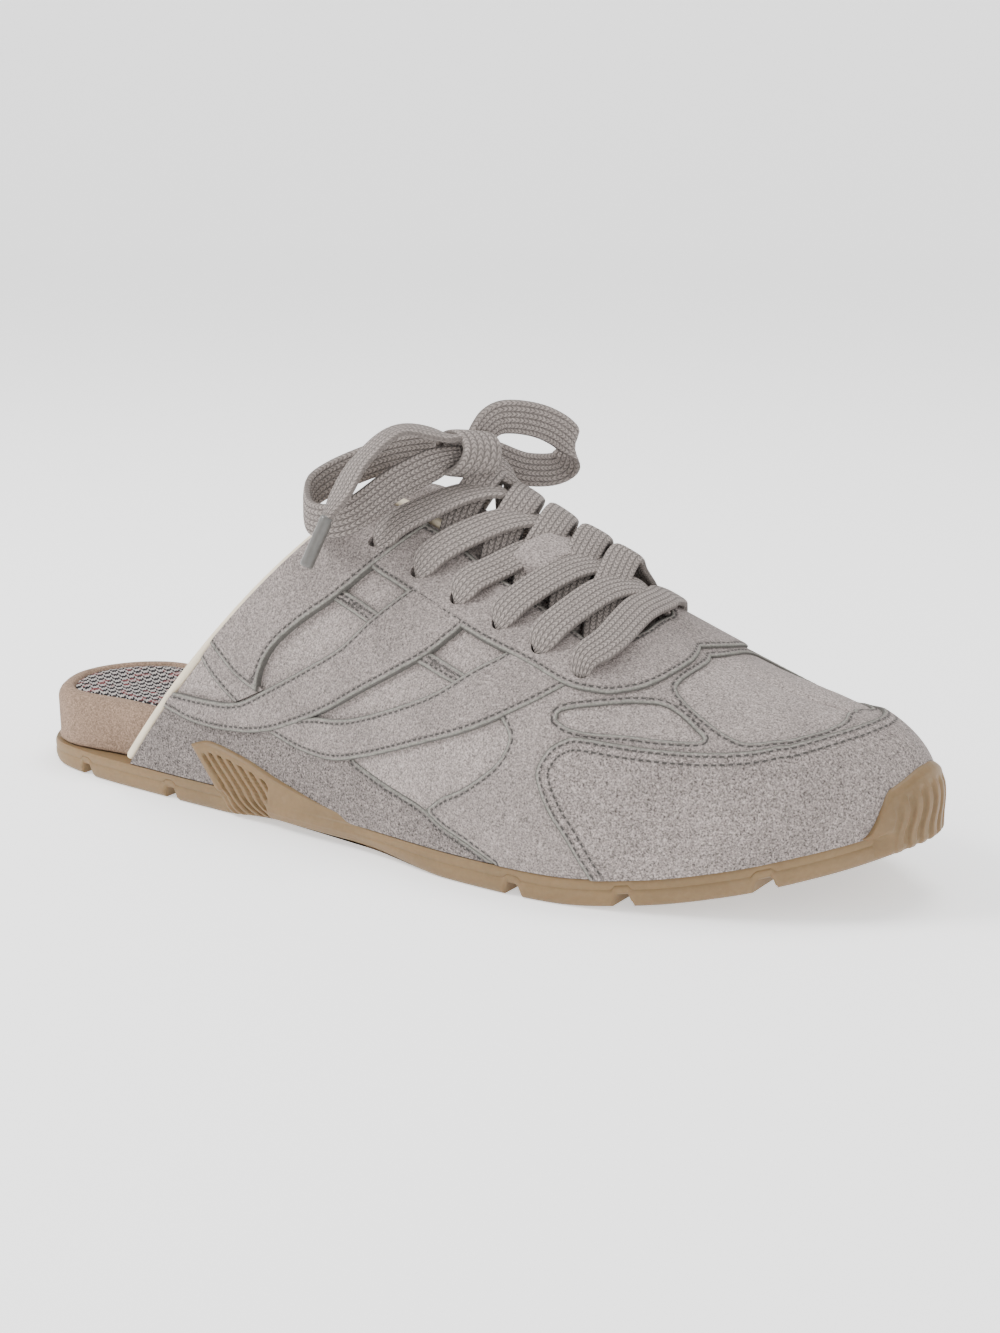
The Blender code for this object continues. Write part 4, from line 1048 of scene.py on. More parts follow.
def eyelet_ring(w, side):
    """A round hole about an eyelet, closed, measured on the wall itself."""
    c = on_side(w, side)
    v = float(level(c, eyelet(c)))
    middle = wall(c, v)
    size_c = np.linalg.norm(wall(c + 0.01, v) - middle) / 0.01
    size_v = np.linalg.norm(wall(c, v + 0.01) - middle) / 0.01
    turn = np.linspace(0, 2 * math.pi, 21)
    return np.stack([w + EYELET_RADIUS / size_c * np.cos(turn),
                     v + EYELET_RADIUS / size_v * np.sin(turn)], -1)


def sewn(name, runs, low, high, look, side_list, windows=(), punched=(), replaced=(),
         ease=0.35 * MM):
    """A panel of suede inside its edge lines, from low to high off the last, on each side.

    Each run is a line of places and whether it is a raw edge. Windows are sewn round, and
    the eyelets at the punched places are not.
    """
    halves = []
    for side in side_list:
        lines = runs(side) if callable(runs) else runs
        scale = np.array((ROUND, UP))
        loop, raw = [], []
        for points, is_raw in lines:
            fine = curve(np.array(points) * scale, 0.9 * MM)
            loop.append(fine[:-1])
            if is_raw:
                raw.append(fine)
        loops = [np.vstack(loop)]
        for window in windows:
            fine = curve(np.array(window) * scale, 0.7 * MM)
            loops.append(fine[:-1])
            raw.append(fine)
        loops += [(eyelet_ring(w, side) * scale)[:-1] for w in punched]
        bm, tops = flat_sheet(loops, sizes().suede_pitch)
        joins = [face for face in bm.faces
                 if all(abs(vert.co.y - UP) < 1e-6 for vert in face.verts)
                 or all(abs(vert.co.x - ROUND) < 1e-6 for vert in face.verts)]
        bmesh.ops.delete(bm, geom=joins, context="FACES_ONLY")
        bm.verts.ensure_lookup_table()
        flat = np.array([vert.co[:2] for vert in bm.verts]) / scale
        is_top = np.array([vert in tops for vert in bm.verts])
        c = on_side(flat[:, 0], side)
        v = flat[:, 1]
        here = wall(c, v)
        rim, along = np.full(len(here), 1.0), np.zeros(len(here))
        start = 0.0
        for fine in raw:
            w = fine[:, 0] / ROUND
            edge = wall(on_side(w, side), fine[:, 1] / UP)
            at = start + run_along(edge)
            for k in range(len(edge) - 1):
                run = edge[k + 1] - edge[k]
                span = max(run.dot(run), 1e-12)
                t = np.clip((here - edge[k]) @ run / span, 0, 1)
                d = np.linalg.norm(here - edge[k] - t[:, None] * run, axis=1)
                nearer = d < rim
                rim = np.where(nearer, d, rim)
                along = np.where(nearer, at[k] + t * (at[k + 1] - at[k]), along)
            start = at[-1]
        off = np.where(is_top, high - ease * (1 - smoothstep(0.0, 0.9 * MM, rim)), low)
        points = skin(c, v, off)
        rim_layer = bm.verts.layers.float.new("rim")
        along_layer = bm.verts.layers.float.new("along")
        for k, vert in enumerate(bm.verts):
            vert.co = points[k]
            vert[rim_layer] = min(rim[k], 0.02)
            vert[along_layer] = along[k]
        bmesh.ops.recalc_face_normals(bm, faces=bm.faces)
        halves.append(bm)
    whole = joined(halves)
    bmesh.ops.remove_doubles(whole, verts=whole.verts, dist=5e-6)
    return finish_piece(name, whole, look, replaced, 50)


def make_upper_shell():
    """The lined shell of the upper, cut out for the lacing gap and its eyelets."""
    def runs(side):
        return (
            (((0.0, 0.0), (1.0, 0.0)), False),
            (((1.0, 0.0), (1.0, 1.0)), False),
            (((1.0, 1.0), (THROAT_END, 1.0)), False),
            (throat_line(THROAT_END, 0.0, side, 0.0), False),
            ((throat_line(0.0, 0.01, side, 0.0)[0], (0.0, 0.0)), False),
        )

    return sewn("upper_shell", runs, -UPPER_WALL, 0.0, suede_look("plain"), (-1, 1), (),
                [w for w, _ in EYELETS], ["upper"], ease=0.0)


def make_vamp():
    """The vamp's middle layer, open at the two side windows and at the toe window."""
    runs = (
        (VAMP_REAR, True),
        (((0.358, 0.095), (0.381, 0.067), (0.411, 0.042), (0.439, 0.013), (0.45, 0.0)), True),
        (((0.45, 0.0), (1.0, 0.0)), False),
        (((1.0, 0.0), (1.0, 0.905)), False),
        (TOE_WINDOW, True),
        (((0.710, 1.0), (0.64, 1.0)), False),
        (((0.64, 1.0), (0.61, 0.78), (0.56, 0.60), (0.50, 0.57), (0.46, 0.52), (0.425, 0.39)),
         False),
    )
    return sewn("vamp_layer", runs, ON_UPPER, 0.8 * MM, suede_look("panel"), (-1, 1),
                [EYE_WINDOW])


def make_lower_quarters():
    """The low quarters along the sole behind the vamp."""
    runs = (
        (((0.0, 0.0), (0.45, 0.0)), False),
        (LOWER_SEAM[::-1], True),
        (((0.255, 0.152), (0.24, 0.17), (0.19, 0.16), (0.10, 0.15), (0.0, 0.155)), False),
        (((0.0, 0.155), (0.0, 0.0)), False),
    )
    for side, word in SIDES:
        sewn(f"lower_quarter_{word}", runs, ON_UPPER, 0.5 * MM, suede_look("low"), (side,))


def make_bands():
    """The raised bands from the eyestay down to the waist, with a cross strip between them."""
    front = (
        (FRONT_LOW, True),
        (((0.52, 0.57), (0.405, 0.58)), False),
        (FRONT_TOP, True),
        (((0.16, 0.195), (0.145, 0.15)), False),
    )
    rear = (
        (REAR_LOW, True),
        (((0.315, 0.57), (0.205, 0.58)), False),
        (REAR_TOP, True),
        (((0.0, 0.175), (0.0, 0.14)), False),
    )
    strip = (
        (((0.272, 0.425), (0.345, 0.415)), True),
        (((0.345, 0.415), (0.362, 0.45)), False),
        (((0.362, 0.45), (0.29, 0.462)), True),
        (((0.29, 0.462), (0.272, 0.425)), False),
    )
    high_strip = (
        (((0.108, 0.472), (0.186, 0.452)), True),
        (((0.186, 0.452), (0.194, 0.485)), False),
        (((0.194, 0.485), (0.115, 0.503)), True),
        (((0.115, 0.503), (0.108, 0.472)), False),
    )
    for side, word in SIDES:
        look = suede_look("panel")
        sewn(f"front_band_suede_{word}", front, ON_UPPER, 1.3 * MM, look, (side,), (), (),
             [f"front_band_{word}"])
        sewn(f"rear_band_suede_{word}", rear, ON_UPPER, 1.7 * MM, look, (side,), (), (),
             [f"rear_band_{word}"])
        sewn(f"cross_strip_low_{word}", strip, ON_UPPER, 1.0 * MM, look, (side,))
        sewn(f"cross_strip_high_{word}", high_strip, ON_UPPER, 1.0 * MM, look, (side,))


def make_collar_panels():
    """The panels behind the collar, which hold the first eyelets, and the tabs under them."""
    def runs(side):
        near = throat_line(0.0, 0.139, side, EDGE_IN)
        edge = np.array(COLLAR_EDGE)
        edge[0] = near[-1]
        return (
            (edge, True),
            (TAB_TOP, True),
            ((TAB_TOP[-1], near[0]), False),
            (near, False),
        )

    tabs = (
        (TAB_LOW, True),
        (((0.085, 0.19), (0.11, 0.235)), False),
        (((0.11, 0.235), (0.07, 0.26), (0.034, 0.285), (0.0, 0.31)), False),
        (((0.0, 0.31), (0.0, 0.258)), False),
    )
    for side, word in SIDES:
        sewn(f"collar_panel_{word}", runs, ON_UPPER, 2.1 * MM, suede_look("panel"), (side,), (),
             [EYELETS[0][0]])
        sewn(f"collar_tab_{word}", tabs, ON_UPPER, 1.0 * MM, suede_look("panel"), (side,))


def make_toe_guard():
    """The grainy guard round the toe, sewn with two rows."""
    runs = (
        (GUARD_EDGE, True),
        (((1.0, 0.748), (1.0, 0.0)), False),
        (((1.0, 0.0), (0.562, 0.0)), False),
    )
    return sewn("toe_guard_suede", runs, ON_UPPER, 1.9 * MM, suede_look("guard"), (-1, 1), (),
                (), ["toe_guard"])


def make_eyestay():
    """The eyestay round the lacing gap, with its punched holes."""
    def runs(side):
        near = throat_line(THROAT_END, 0.115, side, EDGE_IN)
        return (
            (STAY_LOW, True),
            (((0.682, 1.0), (THROAT_END, 1.0)), False),
            (near, True),
            ((near[-1], STAY_LOW[0]), False),
        )

    return sewn("eyestay_suede", runs, ON_UPPER, 1.7 * MM, suede_look("panel"), (-1, 1), (),
                [w for w, _ in EYELETS[1:]], ["eyestay"])


# Piping, tongue and laces

def swept(path, ups, width, thickness, shares=None, around=20, square=0.62):
    """A flat lace with rounded edges along a path, with its weave marked across and along."""
    path = np.array(path, float)
    n = len(path)
    run = np.gradient(path, axis=0)
    run = unit(run)
    ups = np.array(ups, float)
    ups = unit(ups - run * (ups * run).sum(1, keepdims=True))
    across = np.cross(run, ups)
    along = run_along(path)
    shares = np.ones(n) if shares is None else np.array(shares, float)

    def parts(s, t):
        k = np.clip(np.rint(t * (n - 1)).astype(int), 0, n - 1)
        turn = 2 * math.pi * np.rint(s * around) / around
        x = np.sign(np.cos(turn)) * np.abs(np.cos(turn)) ** square
        y = np.sign(np.sin(turn)) * np.abs(np.sin(turn)) ** 0.8
        return k, x, y

    def place(s, t):
        k, x, y = parts(s, t)
        bulk = 1 + 0.7 * (1 - shares[k])
        return (path[k] + (0.5 * width * shares[k] * x)[:, None] * across[k]
                + (0.5 * thickness * bulk * y)[:, None] * ups[k])

    def uv(s, t):
        k, x, y = parts(s, t)
        return 0.5 + 0.5 * x, along[k]

    return close_up(shaped_grid(around, n - 1, place, uv))


def tube(path, radius, around=14):
    """A round cord along a path with closed, slightly rounded ends."""
    path = np.array(path, float)
    n = len(path)
    run = unit(np.gradient(path, axis=0))
    ups = np.zeros((n, 3))
    up = np.array((0.0, 0.0, 1.0))
    for k in range(n):
        up = up - run[k] * up.dot(run[k])
        up = up / np.linalg.norm(up)
        ups[k] = up
    across = np.cross(run, ups)
    radii = np.full(n, radius)
    radii[[0, -1]] *= 0.75

    def place(s, t):
        k = np.clip(np.rint(t * (n - 1)).astype(int), 0, n - 1)
        turn = 2 * math.pi * s
        return path[k] + radii[k][:, None] * (np.cos(turn)[:, None] * across[k]
                                              + np.sin(turn)[:, None] * ups[k])

    return close_up(shaped_grid(around, n - 1, place))


def square_to(direction, along):
    along = unit(along)
    return unit(direction - along * (direction * along).sum())


def piping_path(side):
    """The cord's line down the collar, turned into the lacing gap for its first part."""
    mid = -0.36 * UPPER_WALL
    clear = sizes().piping_radius + 1.5 * GAP
    step = 1e-3
    first = 0.0 if side < 0 else 2.0
    ahead = first - side * step
    top = float(throat_edge(first))

    def off_collar(v):
        along = skin(first, v + step, mid) - skin(first, v - step, mid)
        return square_to(skin(first, v, mid) - skin(ahead, v, mid), along)

    def off_throat(c):
        v = float(throat_edge(c))
        after = c - step * side
        along = skin(after, float(throat_edge(after)), mid) - skin(c, v, mid)
        return square_to(skin(c, v + step, mid) - skin(c, v, mid), along)

    path = [skin(first, v, mid) + clear * off_collar(v) for v in np.linspace(0.004, top - 0.01, 15)]
    both = unit(off_collar(top) + off_throat(ahead))
    path.append(skin(first, top, mid) + 1.1 * clear * both / both.dot(off_collar(top)))
    for w in (0.03, 0.06, 0.09, 0.125, 0.16):
        c = on_side(w, side)
        path.append(skin(c, float(throat_edge(c)), mid) + clear * off_throat(c))
    return path


def make_piping():
    look = leather("cream leather", tuple(colours().cream), 0.5)
    for side, word in SIDES:
        bm = tube(curve(piping_path(side), 0.9 * MM), sizes().piping_radius)
        finish_piece(f"piping_{word}", bm, look, [f"collar_piping_{word}"], 60)


TONGUE_BACK = -0.095
TONGUE_FRONT = 0.61
TONGUE_SLANT = 0.13
TONGUE_THICKNESS = 3.4 * MM
# The binding's line round the back of the tongue: share across it and share along it.
TONGUE_EDGE = (
    (0.0, 0.34), (0.0, 0.22), (0.0, 0.12), (0.03, 0.03), (0.12, 0.0), (0.3, 0.0), (0.5, 0.0),
    (0.7, 0.0), (0.88, 0.0), (0.97, 0.03), (1.0, 0.12), (1.0, 0.22), (1.0, 0.34),
)


def tongue_place(s, t, top):
    """A point of the tongue's upper or lower face, t from its back end to its front."""
    w = TONGUE_BACK + (TONGUE_FRONT - TONGUE_BACK) * t
    half = (20.0 - 5.0 * t) * MM
    row = 15 * t
    half = half * np.sqrt(np.clip(1 - (1 - np.clip((row + 0.9) / 3.2, 0, 1)) ** 2 * 0.6, 0, 1))
    fill = np.minimum(np.minimum(1.0, (row + 0.35) / 1.2), (15 - row + 0.8) / 2.0)
    q = 2 * s - 1
    across = w + TONGUE_SLANT * np.abs(q) ** 1.3 * (1 - t)
    c = np.where(q <= 0, across, 2 - across)
    v = level(c, np.abs(q) * half)
    off = UPPER_WALL + 2 * GAP
    thick = TONGUE_THICKNESS * fill * (1 - 0.85 * np.abs(q) ** 5)
    channel = 0.35 * MM * np.exp(-((np.abs(q) - 0.86) / 0.03) ** 2)
    return skin(c, v, -off - channel if top else -off - thick)


def make_tongue():
    """The padded tongue with a light rolled edge."""
    faces = [shaped_grid(48, 80, lambda s, t, top=top: tongue_place(s, t, top))
             for top in (True, False)]
    piece = finish_piece("tongue_suede", closed_pair(*faces), suede_look("plain"),
                         ["tongue"], 60)
    line = [tongue_place(np.array([s]), np.array([t]), True)[0] + (0.0, 0.0, -0.5 * MM)
            for s, t in TONGUE_EDGE]
    binding = leather("pale binding", (0.62, 0.56, 0.50), 0.6)
    finish_piece("tongue_binding", tube(curve(line, 1.0 * MM), 0.9 * MM, 10), binding,
                 (), 60)


# How far a lace has moved towards the toe and how far it stands off its seat: at its own
# gap edge, halfway to the ridge, on the ridge, and twice on the far side. Outer first.
STRANDS = {
    -1: ((0.016, 0.8), (0.036, 1.3), (0.062, 0.8), (0.088, -1.6), (0.104, -3.8)),
    1: ((0.000, 3.0), (0.002, 5.4), (0.012, 3.2), (0.046, -1.2), (0.080, -4.0)),
}
UNDER_LOOP = EYELETS[2][0]
SEAT = 3.25 * MM  # how far off the last the middle of a lace lies on the eyestay


def laid(spots, count):
    """Evenly spaced points and outward directions along places on the upper."""
    return counted([p for p, _ in spots], count), counted([n for _, n in spots], count)


def on_upper(side, w, distance, off):
    """A place off the last at a distance across from the ridge, and its outward direction."""
    c = on_side(w, side)
    v = float(level(c, distance))
    return skin(c, v, off), normal(c, v)


def strand_route(side, w):
    """A lace out of its eyelet, over the gap and down under the far edge."""
    near = on_side(w, side)
    half = float(throat_half(near))
    far_half = float(throat_half(2 - near))
    hole = float(eyelet(near))
    top = SEAT
    sunk = 1.7 if side < 0 and w == UNDER_LOOP else 0.0
    edge, mid, crown, far, end = ((w + a, top + (b - sunk) * MM) for a, b in STRANDS[side])
    spots = [
        on_upper(side, w - 0.002, hole + 0.2 * MM, -0.9 * MM),
        on_upper(side, w + 0.001, hole - 0.2 * MM, 1.6 * MM),
        on_upper(side, w + 0.004, hole - 2.6 * MM, top + 0.3 * MM),
        on_upper(side, edge[0], half, edge[1]),
        on_upper(side, mid[0], 0.45 * half, mid[1]),
        on_upper(side, crown[0], 0.0, crown[1]),
        on_upper(-side, far[0], 0.55 * far_half, far[1]),
        on_upper(-side, end[0], far_half + 0.5 * MM, end[1]),
        on_upper(-side, end[0] + 0.004, far_half + 3.0 * MM, -3.2 * MM),
    ]
    path, ups = laid(spots, 46)
    away = run_along(path)
    shares = 0.5 + 0.5 * smoothstep(0.5 * MM, 6.0 * MM, away)
    return path, ups, shares


def make_lacing():
    """The crossed laces from the front bar to the top eyelets."""
    s = sizes()
    width, thick = s.lace_width, s.lace_thickness
    parts = []
    w = EYELETS[-1][0]
    top = SEAT
    hole_a, hole_b = float(eyelet(w)), float(eyelet(2 - w))
    half_a, half_b = float(throat_half(w)), float(throat_half(2 - w))
    bar = [
        on_upper(-1, w, hole_a + 0.4 * MM, -0.9 * MM),
        on_upper(-1, w, hole_a + 0.1 * MM, 1.5 * MM),
        on_upper(-1, w + 0.002, hole_a - 2.4 * MM, top),
        on_upper(-1, w + 0.02, half_a, top + 0.3 * MM),
        on_upper(-1, w + 0.028, 0.4 * half_a, top + 0.6 * MM),
        on_upper(1, w + 0.028, 0.4 * half_b, top + 0.6 * MM),
        on_upper(1, w + 0.012, half_b, top + 0.2 * MM),
        on_upper(1, w, hole_b - 2.4 * MM, top),
        on_upper(1, w, hole_b + 0.1 * MM, 1.5 * MM),
        on_upper(1, w, hole_b + 0.4 * MM, -0.9 * MM),
    ]
    path, ups = laid(bar, 50)
    away = np.linspace(0, 1, 50)
    shares = 0.5 + 0.5 * smoothstep(0.0, 0.16, np.minimum(away, 1 - away))
    parts.append(swept(path, ups, width, thick, shares))
    for place, _ in EYELETS[:-1]:
        for side in (1, -1):
            path, ups, shares = strand_route(side, place)
            parts.append(swept(path, ups, width, thick, shares))
    for bm in parts:
        bmesh.ops.recalc_face_normals(bm, faces=bm.faces)
    return finish_piece("crossed_laces", joined(parts), braid_look(), ["lacing"], 60,
                        False)


def make_keeper():
    """The small suede loop on the tongue that the laces pass through."""
    spots = [on_upper(-1, 0.330, 14.0 * MM, 0.5 * MM), on_upper(-1, 0.331, 12.6 * MM, 3.8 * MM),
             on_upper(-1, 0.335, 9.0 * MM, 5.2 * MM), on_upper(-1, 0.340, 3.5 * MM, 5.2 * MM),
             on_upper(1, 0.345, 2.0 * MM, 4.0 * MM), on_upper(1, 0.345, 5.0 * MM, 0.5 * MM)]
    path, ups = laid(spots, 36)
    bm = swept(path, ups, 9.6 * MM, 1.3 * MM, None, 20, 0.5)
    return finish_piece("tongue_loop", bm, suede_look("plain"), (), 60)


# The bow: routes in millimetres from the knot's middle, as in the part.
KNOT_SHARE = 0.511
KNOT_HEIGHT = 97.9 * MM
LOOP_OUTER = ((-4.2, -6.0, -1.5), (-11, -16.5, -6.5), (-19, -27, -14.5), (-29, -28.5, -15.5),
              (-36, -20, -11.5), (-34, -12, -7.5), (-24, -4, -2.5), (-14, -1, 0), (-7.4, 0, 0.4))
LOOP_INNER = ((0.9, 5.2, 4.9), (3.5, 12, 8.4), (10, 22, 6.4), (14, 30, 0.4), (10.5, 31, -6.6),
              (5, 22, -6.6), (0, 14, -3), (-0.8, 8.4, -1.4))
TAIL_OUTER = ((-2.7, -4.6, 4.5), (-11, -15, 7), (-16, -25, 0), (-17, -33, -8), (-18, -38, -14))
TAIL_INNER = ((5.5, 6.5, -4), (7.5, 13, -9), (4, 21, -14.6), (0, 27.4, -21), (-4, 30.6, -28),
              (-8, 33, -36.6))
AGLET_OUTER = ((-18.1, -38.5, -14.8), (-20.7, -43, -25))
AGLET_INNER = ((-8.3, 33.3, -37.7), (-12, 36, -50))
KNOT_GATHER = 9.0 * MM
AGLET_RADIUS = 1.9 * MM


def bow_route(points):
    """Places of a route in metres from the back of the heel."""
    middle = np.array((KNOT_SHARE * SOLE_LENGTH, 0.01 * BALL_WIDTH, KNOT_HEIGHT))
    return middle + np.array(points, float) * MM


def bow_cord(name, loop, tail, facing, replaced):
    """One end of the lace: out of the knot in a loop, back through it and out as a tail."""
    width, thick = sizes().lace_width, sizes().lace_thickness
    inside = tuple(0.25 * x for x in loop[0])
    first = bow_route((inside, *loop))
    last = bow_route(tail)
    through = (first[-1] + last[0]) / 2
    path = counted(np.vstack([first, through, last]), 150)
    split = int(np.argmin(np.linalg.norm(path - through, axis=1)))
    run = unit(np.gradient(path, axis=0))
    stand = np.cross(run, (0.0, 0.0, 1.0))
    lie = np.tile(np.array(facing, float), (len(path), 1))
    flip = 1.0 if (stand[split] * facing).sum() > 0 else -1.0
    k = np.arange(len(path))
    turned = smoothstep(split - 5, split + 5, k)[:, None]
    ups = unit(stand * flip) * (1 - turned) + unit(lie) * turned
    along = run_along(path)
    near = np.minimum(along, np.abs(along - along[split]))
    shares = 0.6 + 0.4 * smoothstep(0.0, KNOT_GATHER, near)
    to_tip = along[-1] - along
    shares = np.minimum(shares, 0.42 + 0.58 * smoothstep(0.0, 9 * MM, to_tip))
    bm = swept(path, ups, width, thick, shares)
    piece = finish_piece(name, bm, braid_look(), replaced, 60)
    return piece


def make_tip(name, ends, replaced):
    """A lace tip: a pressed sleeve with a rounded open end."""
    a, b = bow_route(ends)
    a = a - 2.5 * MM * unit(b - a)
    t = np.linspace(0, 1, 30)
    path = a + (b - a) * t[:, None]
    look = bpy.data.materials.get("lace tip") or coated("lace tip", (0.105, 0.10, 0.092))
    bm = tube(path, AGLET_RADIUS * 0.92, 18)
    return finish_piece(name, bm, look, replaced, 50)


def make_bow():
    tip_outer = make_tip("tip_outer", AGLET_OUTER, ["aglet_outer"])
    tip_inner = make_tip("tip_inner", AGLET_INNER, ["aglet_inner"])
    middle = bow_route((0, 0, 0))
    axis = unit(np.array((0.55, 0.82, -0.1)))
    side = unit(np.cross(axis, (0, 0, 1)))
    rise = np.cross(side, axis)
    turn = np.linspace(-0.5 * math.pi, 1.5 * math.pi, 49)
    spread = 6.4 * MM * np.cos(turn)[:, None] * side + 4.9 * MM * np.sin(turn)[:, None] * rise
    slip = 1.8 * MM * np.sin(turn + 0.9)[:, None] * axis
    path = middle + spread + slip
    bm = swept(path, spread, 11.0 * MM, 2.6 * MM, None, 24, 0.8)
    knot = finish_piece("wrapped_knot", bm, braid_look(), ["bow_knot"], 60)
    bow_cord("bow_outer_loop", LOOP_OUTER, TAIL_INNER, (0.3, -0.5, 0.8),
             ["bow_loop_outer", "lace_tail_inner"])
    bow_cord("bow_inner_loop", LOOP_INNER, TAIL_OUTER, (-0.3, -0.5, 0.8),
             ["bow_loop_inner", "lace_tail_outer"])


# Stage

AZIMUTH = 32.5
ELEVATION = 14.04
DISTANCE = 620.6 * MM
AIM = np.array((134.0, 0.0, 40.0)) * MM
ROLL = 0.05
LENS = 83.95
FRAME_SHIFT = (0.04196, 0.003)
LIT_POINT = (0, 0, 0.03)
LIGHTS = (
    ("soft key", (-0.65, -0.45, 0.85), 0.45, 11.0),
    ("soft fill", (0.9, -0.9, 0.6), 0.9, 3.0),
    ("soft top", (0.1, 0.35, 1.2), 0.6, 7.0),
)


def posed(thing, right, up, back, place):
    """Turns an object to its axes at a place and adds it to the scene."""
    matrix = Matrix.Identity(4)
    for k, axis in enumerate((right, up, back, place)):
        for row in range(3):
            matrix[row][k] = axis[row]
    thing.matrix_world = matrix
    bpy.context.scene.collection.objects.link(thing)


def make_camera():
    a, e, r = (math.radians(x) for x in (AZIMUTH, ELEVATION, ROLL))
    right = np.array((math.cos(a), math.sin(a), 0.0))
    back = np.array((math.sin(a) * math.cos(e), -math.cos(a) * math.cos(e), math.sin(e)))
    up = np.cross(back, right)
    right, up = (right * math.cos(r) + up * math.sin(r), up * math.cos(r) - right * math.sin(r))
    data = bpy.data.cameras.new("photo camera")
    data.sensor_fit = "HORIZONTAL"
    data.sensor_width = 36
    data.lens = LENS
    data.shift_x, data.shift_y = FRAME_SHIFT
    data.clip_start = 0.01
    camera = bpy.data.objects.new("photo camera", data)
    posed(camera, right, up, back, AIM - SHIFT + back * DISTANCE)
    bpy.context.scene.camera = camera


def area_light(name, place, size, power):
    data = bpy.data.lights.new(name, "AREA")
    data.shape = "DISK"
    data.size = size
    data.energy = power
    lamp = bpy.data.objects.new(name, data)
    back = unit(np.array(place, float) - np.array(LIT_POINT, float))
    right = unit(np.cross((0, 0, 1), back))
    posed(lamp, right, np.cross(back, right), back, place)


def make_floor():
    """A round pale floor that curves up far behind the shoe."""
    bm = bmesh.new()
    turn = np.linspace(0, math.pi / 2, 13)
    line = [(0.0, 0.0), (1.2, 0.0)]
    line += [(2.4 + 0.9 * math.sin(a), 0.9 - 0.9 * math.cos(a)) for a in turn]
    verts = [bm.verts.new((x, 0.0, z)) for x, z in line]
    edges = [bm.edges.new(pair) for pair in zip(verts, verts[1:])]
    bmesh.ops.spin(bm, geom=verts + edges, cent=(0, 0, 0), axis=(0, 0, 1), dvec=(0, 0, 0),
                   angle=2 * math.pi, steps=72, use_merge=True, use_duplicate=False)
    bmesh.ops.remove_doubles(bm, verts=bm.verts, dist=1e-5)
    bmesh.ops.recalc_face_normals(bm, faces=bm.faces)
    if bm.faces[0].normal.z < 0:
        bmesh.ops.reverse_faces(bm, faces=bm.faces)
    mesh = bpy.data.meshes.new("floor")
    bm.to_mesh(mesh)
    bm.free()
    mesh.shade_smooth()
    floor = bpy.data.objects.new("floor", mesh)
    look = Finish("pale floor", 0.9, Specular_IOR_Level=0.1, Emission_Strength=0.75,
                  Emission_Color=(1.0, 1.0, 1.0, 1.0))
    speck = look.noise(look.spot(), 4.0, 2.0)
    mesh.materials.append(look.done(look.tone((0.93, 0.93, 0.93), speck, 0.998, 1.002)))
    bpy.context.scene.collection.objects.link(floor)


def make_stage():
    make_camera()
    make_floor()
    world = bpy.context.scene.world or bpy.data.worlds.new("studio")
    bpy.context.scene.world = world
    world.use_nodes = True
    background = world.node_tree.nodes["Background"]
    background.inputs[0].default_value = (1.0, 1.0, 1.0, 1.0)
    background.inputs[1].default_value = 1.0
    for light in LIGHTS:
        area_light(*light)


# Operators, one for each piece or group of like pieces

class MULE_OT_stage(bpy.types.Operator):
    """Adds the floor, lights and camera."""

    bl_idname = "mule.stage"
    bl_label = "Stage and camera"
    bl_options = {"REGISTER", "UNDO"}

    def execute(self, context):
        make_stage()
        return {"FINISHED"}


class MULE_OT_bow(bpy.types.Operator):
    """Builds the knot, loops, tails and tips of the bow."""

    bl_idname = "mule.bow"
    bl_label = "Bow"
    bl_options = {"REGISTER", "UNDO"}

    def execute(self, context):
        make_bow()
        return {"FINISHED"}


class MULE_OT_sole(bpy.types.Operator):
    """Builds the outsole, its fin and its toe bumper."""

    bl_idname = "mule.sole"
    bl_label = "Gum sole"
    bl_options = {"REGISTER", "UNDO"}

    def execute(self, context):
        make_sole()
        make_fin()
        make_bumper()
        return {"FINISHED"}


class MULE_OT_footbed(bpy.types.Operator):
    """Builds the wrapped footbed and its checked liner."""

    bl_idname = "mule.footbed"
    bl_label = "Footbed"
    bl_options = {"REGISTER", "UNDO"}

    def execute(self, context):
        make_footbed()
        make_sock()
        return {"FINISHED"}


class MULE_OT_upper(bpy.types.Operator):
    """Builds the lined shell of the upper."""

    bl_idname = "mule.upper"
    bl_label = "Upper shell"
    bl_options = {"REGISTER", "UNDO"}

    def execute(self, context):
        make_upper_shell()
        return {"FINISHED"}


class MULE_OT_panels(bpy.types.Operator):
    """Builds the sewn panels over the upper."""

    bl_idname = "mule.panels"
    bl_label = "Suede panels"
    bl_options = {"REGISTER", "UNDO"}

    def execute(self, context):
        make_vamp()
        make_lower_quarters()
        make_bands()
        make_collar_panels()
        make_toe_guard()
        make_eyestay()
        return {"FINISHED"}


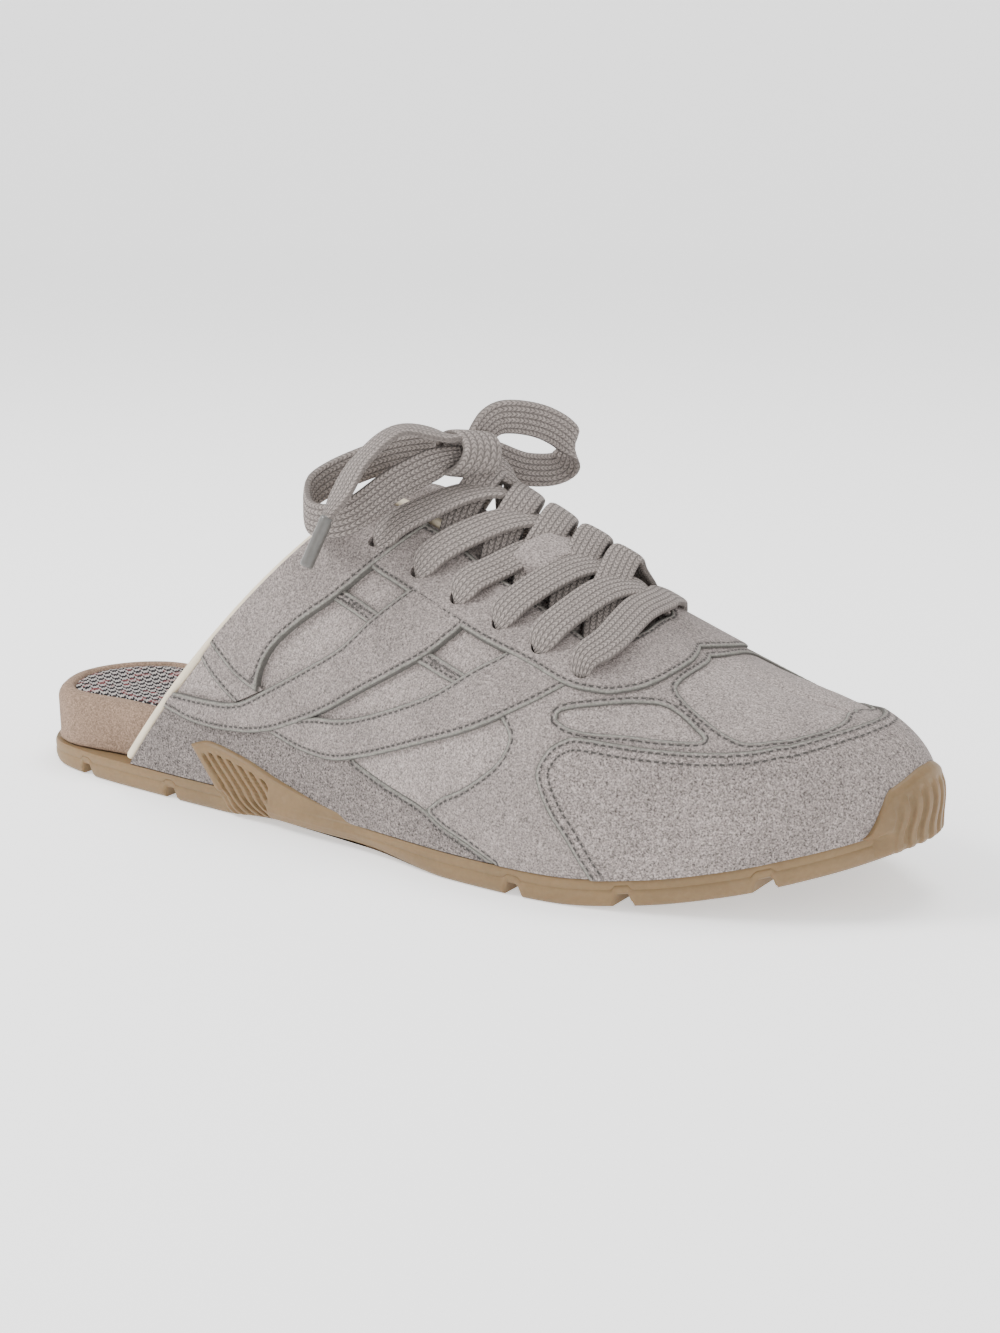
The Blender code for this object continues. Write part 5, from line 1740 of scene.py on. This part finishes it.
class MULE_OT_piping(bpy.types.Operator):
    """Builds the cream cord round the collar."""

    bl_idname = "mule.piping"
    bl_label = "Piping"
    bl_options = {"REGISTER", "UNDO"}

    def execute(self, context):
        make_piping()
        return {"FINISHED"}


class MULE_OT_tongue(bpy.types.Operator):
    """Builds the padded tongue, its edge and its loop."""

    bl_idname = "mule.tongue"
    bl_label = "Tongue"
    bl_options = {"REGISTER", "UNDO"}

    def execute(self, context):
        make_tongue()
        make_keeper()
        return {"FINISHED"}


class MULE_OT_lacing(bpy.types.Operator):
    """Builds the crossed laces."""

    bl_idname = "mule.lacing"
    bl_label = "Laces"
    bl_options = {"REGISTER", "UNDO"}

    def execute(self, context):
        make_lacing()
        return {"FINISHED"}


OPERATORS = (
    MULE_OT_stage, MULE_OT_bow, MULE_OT_sole, MULE_OT_footbed, MULE_OT_upper,
    MULE_OT_panels, MULE_OT_piping, MULE_OT_tongue, MULE_OT_lacing,
)


class MULE_PT_sidebar(bpy.types.Panel):
    """Lists the pieces of the mule and its settings."""

    bl_idname = "MULE_PT_sidebar"
    bl_label = "Sneaker mule"
    bl_space_type = "VIEW_3D"
    bl_region_type = "UI"
    bl_category = "Mule"

    def draw(self, context):
        layout = self.layout
        for group in (context.scene.mule_sizes, context.scene.mule_colours):
            for key in group.__annotations__:
                layout.prop(group, key)
        for kind in OPERATORS:
            layout.operator(kind.bl_idname)


CLASSES = (MuleSizes, MuleColours, *OPERATORS, MULE_PT_sidebar)


def register():
    for kind in CLASSES:
        bpy.utils.register_class(kind)
    bpy.types.Scene.mule_sizes = bpy.props.PointerProperty(type=MuleSizes)
    bpy.types.Scene.mule_colours = bpy.props.PointerProperty(type=MuleColours)


def unregister():
    del bpy.types.Scene.mule_sizes
    del bpy.types.Scene.mule_colours
    for kind in reversed(CLASSES):
        bpy.utils.unregister_class(kind)


def main():
    register()
    for kind in OPERATORS:
        word = kind.bl_idname.split(".")[1]
        getattr(bpy.ops.mule, word)()


if __name__ == "__main__":
    main()
